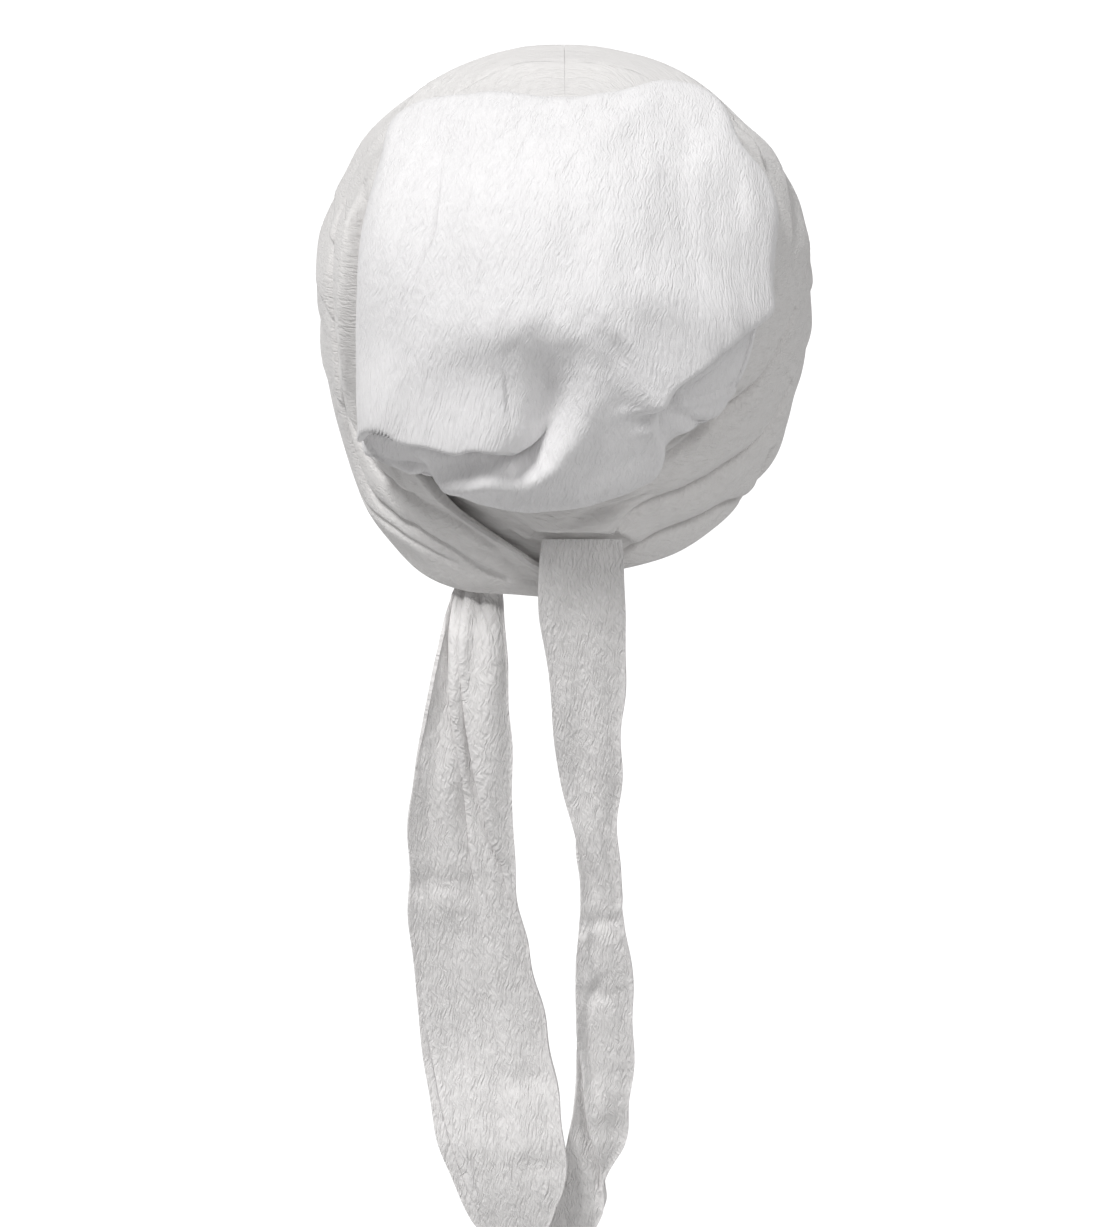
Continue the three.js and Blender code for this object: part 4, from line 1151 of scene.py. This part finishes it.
LEFT_WRAP = Wrap(
    "left_wrap_cloth", "left_wrap",
    stations=(
        (0, -179.985, -10, 359.98, 33, 3.6, 9), (0.12, -150, -14, 345, 37.5, 3.6, 10),
        (0.28, -120, -27, 324, 47, 3.6, 11.5), (0.36, -107, -34.5, 313, 49.6, 3.6, 12.6),
        (0.45, -94, -42, 302, 46.4, 3.6, 13.5), (0.58, -72, -50, 272, 38.5, 5.6, 15),
        (0.68, -55, -53.5, 245, 42, 8, 15.8), (0.77, -41, -54.5, 225, 51, 9, 15.8),
        (0.86, -27, -53.6, 206, 54, 10, 15.5), (0.94, -12, -51.8, 192, 55.5, 10.6, 15),
        (1, 5, -51.8, 182, 59.5, 10.8, 14)),
    creases=(
        (0, 0.3, 0.55, 0.8), (0.45, 0.3, 0.55, 0.75), (0.6, 0.34, 0.6, 0.8),
        (0.77, 0.36, 0.62, 0.84), (0.9, 0.3, 0.6, 0.88), (1, 0.3, 0.6, 0.88)),
    folds=(
        Fold("left_edge_fold", FoldKind.RIDGE, 1.5, (
            (-58.5, -18.7, -0.72), (-60, -26.1, -3.58), (-54.5, -32.2, -4), (-46.1, -35.4, -4),
            (-37.6, -36.9, -4), (-28.8, -37.7, -3.72), (-22.5, -38.7, -3.72),
            (-16.9, -41.4, -3.43), (-12.2, -44.7, -3.15), (-7.7, -48.9, -2.15),
        ), soft=0.6),
        Fold("left_double_a", FoldKind.RIDGE, 1.3, (
            (-63.6, -24.2, -0.72), (-62.8, -33.5, -2.57), (-58.5, -41, -2.86),
            (-45.9, -42.5, -2.86), (-35.6, -43.9, -2.86), (-27, -45.5, -2.86),
            (-20.8, -47.6, -2.29), (-14.6, -48.7, -0.86),
        ), soft=0.6),
        Fold("left_double_b", FoldKind.RIDGE, 1.4, (
            (-78, -38.5, -0.48), (-70.1, -44.9, -1.68), (-51, -45.2, -1.68),
            (-38.7, -46.2, -1.68), (-29.4, -47.6, -1.68), (-24, -48.7, -0.48),
        )),
        Fold("left_roll", FoldKind.RIDGE, 6.0, (
            (-56.3, 33.2, 1.08), (-53.9, 25.1, 4.32), (-52.5, 17.7, 6.48), (-50.7, 9.7, 6.48),
            (-50.2, 1.7, 6.48), (-50.8, -6.7, 5.4), (-54.3, -15.9, 3.24), (-60.2, -23.8, 0.87),
        )),
        Fold("left_groove", FoldKind.RIDGE, 3.4, (
            (-55.9, 25.8, -1.5), (-50.7, 19.4, -6), (-45.3, 9.9, -7.5), (-42.8, -3.5, -7.5),
            (-43.4, -9.9, -6.75), (-48.1, -19.5, -4.5), (-53.1, -27.3, -1.5),
        )),
        Fold("left_layer", FoldKind.RIDGE, 2.0, (
            (-71.8, 28.5, -0.56), (-69.3, 19.1, -2.52), (-66.1, 10.5, -2.8), (-63.6, 1, -2.8),
            (-63, -8.9, -2.8), (-62.6, -18.7, -1.96), (-63.1, -23.2, -0.56),
        )),
    ),
    seed=41, mirrored=True)

RIGHT_TAIL = Tail(
    "right_tail_cloth", "right_tail",
    table=(
        (-80.5, -8.4, 20.6, -94.1, 0.2, 0), (-88, -8.9, 21.4, -96.4, 0.3, 0),
        (-97, -9, 22, -96.6, 0.4, 0), (-112, -8.7, 22.6, -96.8, 0.6, 0),
        (-140, -5, 22.2, -97, 1.2, 0), (-163, -2.8, 21.2, -97, 1.6, 0),
        (-180, -0.4, 20.9, -97, 1.6, 0), (-200, 4.6, 20.2, -97.5, 1.2, 0),
        (-220, 6, 21.6, -97.5, 1.2, 0), (-250, 4.4, 25, -98, 1.6, 0),
        (-282, 4.8, 26.5, -98.5, 1.6, 0), (-304, 4.6, 26.2, -99, 1.4, 0),
        (-325, 1.2, 23.8, -98, 1, 0), (-342, -4.6, 17.2, -97.5, 0.6, 0),
        (-358, -11, 14, -97.5, 0.4, 0), (-376, -15, 3, -97.5, 0.2, 0),
        (-388, -16, -13, -97.5, 0, 0)),
    folds=1.5,
    creases=(
        Crease("diagonal", 0, 2.2, (
            (-146, -6.5, -0.2), (-167.2, -3, -1.3), (-192.7, 2.6, -1.7), (-211.7, 9.6, -1.7),
            (-232.3, 17.3, -1.3), (-248.9, 22.5, -0.2))),
        Crease("second", 0, 1.5, (
            (-156.6, 6.9, -0.1), (-180.6, 12, -0.9), (-202.2, 15.9, -1.1), (-222.6, 20.4, -0.6))),
        Crease("pinch", 0, 2.6, (
            (-222.2, 6.2, 0.2), (-231.8, 8.4, 1.6), (-241.5, 8.2, 1.8), (-252.6, 12.3, 0.8))),
        Crease("lower", 0, 2.2, (
            (-254, 14.2, -0.2), (-266.5, 9.5, -1.2), (-282, 9.3, -1.4), (-299, 12.6, -1),
            (-311.9, 14.6, -0.2))),
        Crease("front_layer", 1, 14.0, (
            (-280, 4.6, 0.1, 0.2, 0.1), (-290.5, 6.3, 0.9, 1.4, 0.8),
            (-304.7, 7.4, 1.4, 2, 1.6), (-319, 9.2, 1.6, 2.4, 2), (-332, 13.4, 1.6, 2.6, 2),
            (-340.7, 14.2, 1.4, 2.4, 1.4), (-350, 15.5, 0.4, 0.8, 0.4)), hollow=9.0),
    ),
    dents=(
        (-232, 14, 9, 3.5, 1.3), (-262, 12, 8, 4, 1), (-296, 18, 7, 5, 0.6),
        (-318, 16, 8, 5, 0.9)),
    seed=61, rests_on="right_wrap")

LEFT_TAIL = Tail(
    "left_tail_cloth", "left_tail",
    table=(
        (-99, -36, -25, -71.2, 0.4, 5), (-105, -39, -24, -67.1, 0.8, 5),
        (-111, -42, -23, -67, 2, 4.5), (-117, -45.4, -22.2, -72.5, 2.8, 3),
        (-125, -48.2, -21.3, -78, 3.2, 1.5), (-147, -52.4, -20.2, -83, 3.4, 0),
        (-171, -56.4, -19.2, -84.5, 3, 0), (-195, -59.2, -18.4, -85, 2.4, 0),
        (-220, -60.2, -17.6, -85.5, 2, 0), (-245, -58.8, -14.2, -86, 1.6, 0),
        (-270, -57, -9, -87.5, 1.4, 0), (-292, -54.2, -4.6, -91, 1.2, 0),
        (-310, -51, -1.4, -97, 1, 0), (-325, -47.8, 0.5, -102.5, 0.8, 0),
        (-343, -41.4, 0, -104, 0.6, 0), (-358, -33.6, -6, -104, 0.4, 0),
        (-370, -26, -11.4, -104, 0.2, 0), (-383, -20, -17.5, -104, 0, 0)),
    folds=2.5,
    creases=(
        Crease("inner", 1, 9.0, (
            (-110, -40.4, 0.6, 0.6, 0.3), (-117.6, -42.6, 1, 1.2, 0.8),
            (-132.1, -42.7, 1.3, 1.7, 1.5), (-148, -42.4, 1.4, 1.8, 1.8),
            (-174.8, -39, 1.3, 1.6, 1.6), (-193.8, -36.7, 1, 1.2, 1.2),
            (-213, -34.9, 0.5, 0.6, 0.5), (-228, -32.4, 0.1, 0.1, 0)), hollow=5.0),
        Crease("front", 1, 12.0, (
            (-103, -33, 0.8, 0.6, 0.4), (-113, -37, 1.6, 1.6, 1.4), (-124.8, -38.2, 2, 1.8, 2),
            (-144.6, -36.9, 2.1, 1.9, 2.2), (-174.1, -32.7, 2, 1.8, 2.2),
            (-202.6, -27.1, 1.8, 1.6, 2), (-212.2, -23.4, 1.5, 1.4, 1.6),
            (-225.9, -20.9, 1, 1, 1), (-241.2, -16.6, 0.3, 0.3, 0.3))),
        Crease("gather", 0, 1.4, (
            (-103, -33.2, -0.8), (-112.3, -30.5, -1.5), (-118.3, -27.8, -1.2),
            (-126, -25.4, -0.3))),
        Crease("split", -1, 6.0, (
            (-115, -43.2, 0.3, 0.6, 0.2), (-126, -47, 0.9, 1.3, 0.7), (-144, -51, 0.9, 1.3, 0.7),
            (-166, -55.3, 0.3, 0.4, 0.2)), hollow=6.0),
        Crease("hem_line", 0, 0.9, (
            (-272, -54.4, -0.1), (-292, -51.6, -0.7), (-315, -46.4, -0.8), (-336, -39.6, -0.8),
            (-352, -33.2, -0.6), (-364, -27, -0.1))),
        Crease("drape", 0, 5.0, (
            (-180, -48, 0.1), (-210, -45.5, -1), (-250, -42, -1.2), (-290, -38, -0.8),
            (-320, -34, -0.1))),
        Crease("drape_right", 0, 5.5, (
            (-230, -29, 0.1), (-262, -25, 1.2), (-300, -20, 1.2), (-330, -17, 0.1))),
    ),
    dents=(
        (-221, -50, 16, 5, 1.0), (-231, -50, 16, 6, -0.4), (-300, -16, 12, 5, 1.1),
        (-332, -10, 13, 5, 0.8), (-341, -12, 14, 6, -0.2)),
    seed=71, rests_on="left_wrap")


@dataclass
class Studio:
    """Camera, soft lights and pale floor.

    Rows of suns: name, direction to the lamp, watts per square metre and spread in degrees.
    """

    camera_place: tuple[float, float, float] = (-5.227, -1236.37, 261.88)
    camera_down: float = 18.0
    lens: float = 95.24
    sensor: float = 36.0
    floor_level: float = -1.15
    floor_size: float = 40.0
    floor_glow: float = 0.55
    ambient: float = 0.27
    suns: tuple[tuple[str, tuple[float, float, float], float, float], ...] = (
        ("key", (-0.42, -0.34, 0.84), 2.8, 16.0), ("fill", (0.52, -0.5, 0.69), 0.8, 25.0))

    def camera(self) -> None:
        """Camera at the photograph's viewing angle."""
        data = bpy.data.cameras.new("camera")
        data.lens = self.lens
        data.sensor_width = self.sensor
        data.clip_end = 50.0
        camera = bpy.data.objects.new("camera", data)
        camera.location = [value * MM for value in self.camera_place]
        camera.rotation_euler = (math.radians(90 - self.camera_down), 0.0, 0.0)
        bpy.context.scene.collection.objects.link(camera)
        bpy.context.scene.camera = camera

    def sun(self, name: str, towards: tuple[float, float, float], power: float,
            spread: float) -> None:
        """One soft distant lamp.

        Args:
            name: Name of the lamp.
            towards: Direction from the object to the lamp.
            power: Power in watts per square metre.
            spread: Angle that the lamp covers in degrees.
        """
        data = bpy.data.lights.new(name, "SUN")
        data.energy = power
        data.angle = math.radians(spread)
        lamp = bpy.data.objects.new(name, data)
        flat = math.hypot(towards[0], towards[1])
        lamp.rotation_euler = (math.atan2(flat, towards[2]), 0.0,
                               math.atan2(towards[0], -towards[1]))
        bpy.context.scene.collection.objects.link(lamp)

    def build(self) -> None:
        """Set up camera, lamps, ambient light and floor."""
        self.camera()
        for lamp in self.suns:
            self.sun(*lamp)
        bpy.context.scene.view_settings.view_transform = "Standard"
        world = bpy.data.worlds.new("studio")
        bpy.context.scene.world = world
        world.use_nodes = True
        background = world.node_tree.nodes["Background"]
        background.inputs["Color"].default_value = WHITE
        sight = Nodes(world.node_tree)
        seen = sight.add("ShaderNodeLightPath").outputs["Is Camera Ray"]
        extra = sight.math("MULTIPLY", seen, 1.0 - self.ambient)
        strength = sight.math("ADD", extra, self.ambient)
        sight.link(strength, background.inputs["Strength"])
        self.floor()

    def floor(self) -> None:
        """Pale floor far below the hanging ties."""
        mesh = bmesh.new()
        bmesh.ops.create_grid(mesh, x_segments=1, y_segments=1, size=self.floor_size)
        bmesh.ops.translate(mesh, verts=mesh.verts, vec=(0, 0, self.floor_level))
        data = bpy.data.meshes.new("floor")
        mesh.to_mesh(data)
        mesh.free()
        floor = bpy.data.objects.new("floor", data)
        bpy.context.scene.collection.objects.link(floor)
        material = bpy.data.materials.new("floor_paper")
        material.use_nodes = True
        nodes = Nodes(material.node_tree)
        shader = material.node_tree.nodes["Principled BSDF"]
        shader.inputs["Base Color"].default_value = (0.5, 0.5, 0.5, 1.0)
        shader.inputs["Roughness"].default_value = 0.9
        shader.inputs["Emission Color"].default_value = WHITE
        ray = nodes.add("ShaderNodeLightPath")
        glow = nodes.math("MULTIPLY", ray.outputs["Is Camera Ray"], self.floor_glow)
        nodes.link(glow, shader.inputs["Emission Strength"])
        data.materials.append(material)
        floor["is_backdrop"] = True


def main(cad_box: Sequence[Sequence[float]]) -> None:
    """Build the hat and its studio.

    Args:
        cad_box: Lowest and highest corner of the CAD model; not used.
    """
    Studio().build()
    for part in (Crown(), RIGHT_WRAP, LEFT_WRAP, RIGHT_TAIL, LEFT_TAIL):
        piece = part.build()
        LOG.info("built %s", piece.name)


if __name__ == "__main__":
    logging.basicConfig(level=logging.INFO, format="%(name)s: %(message)s")
    main(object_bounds())
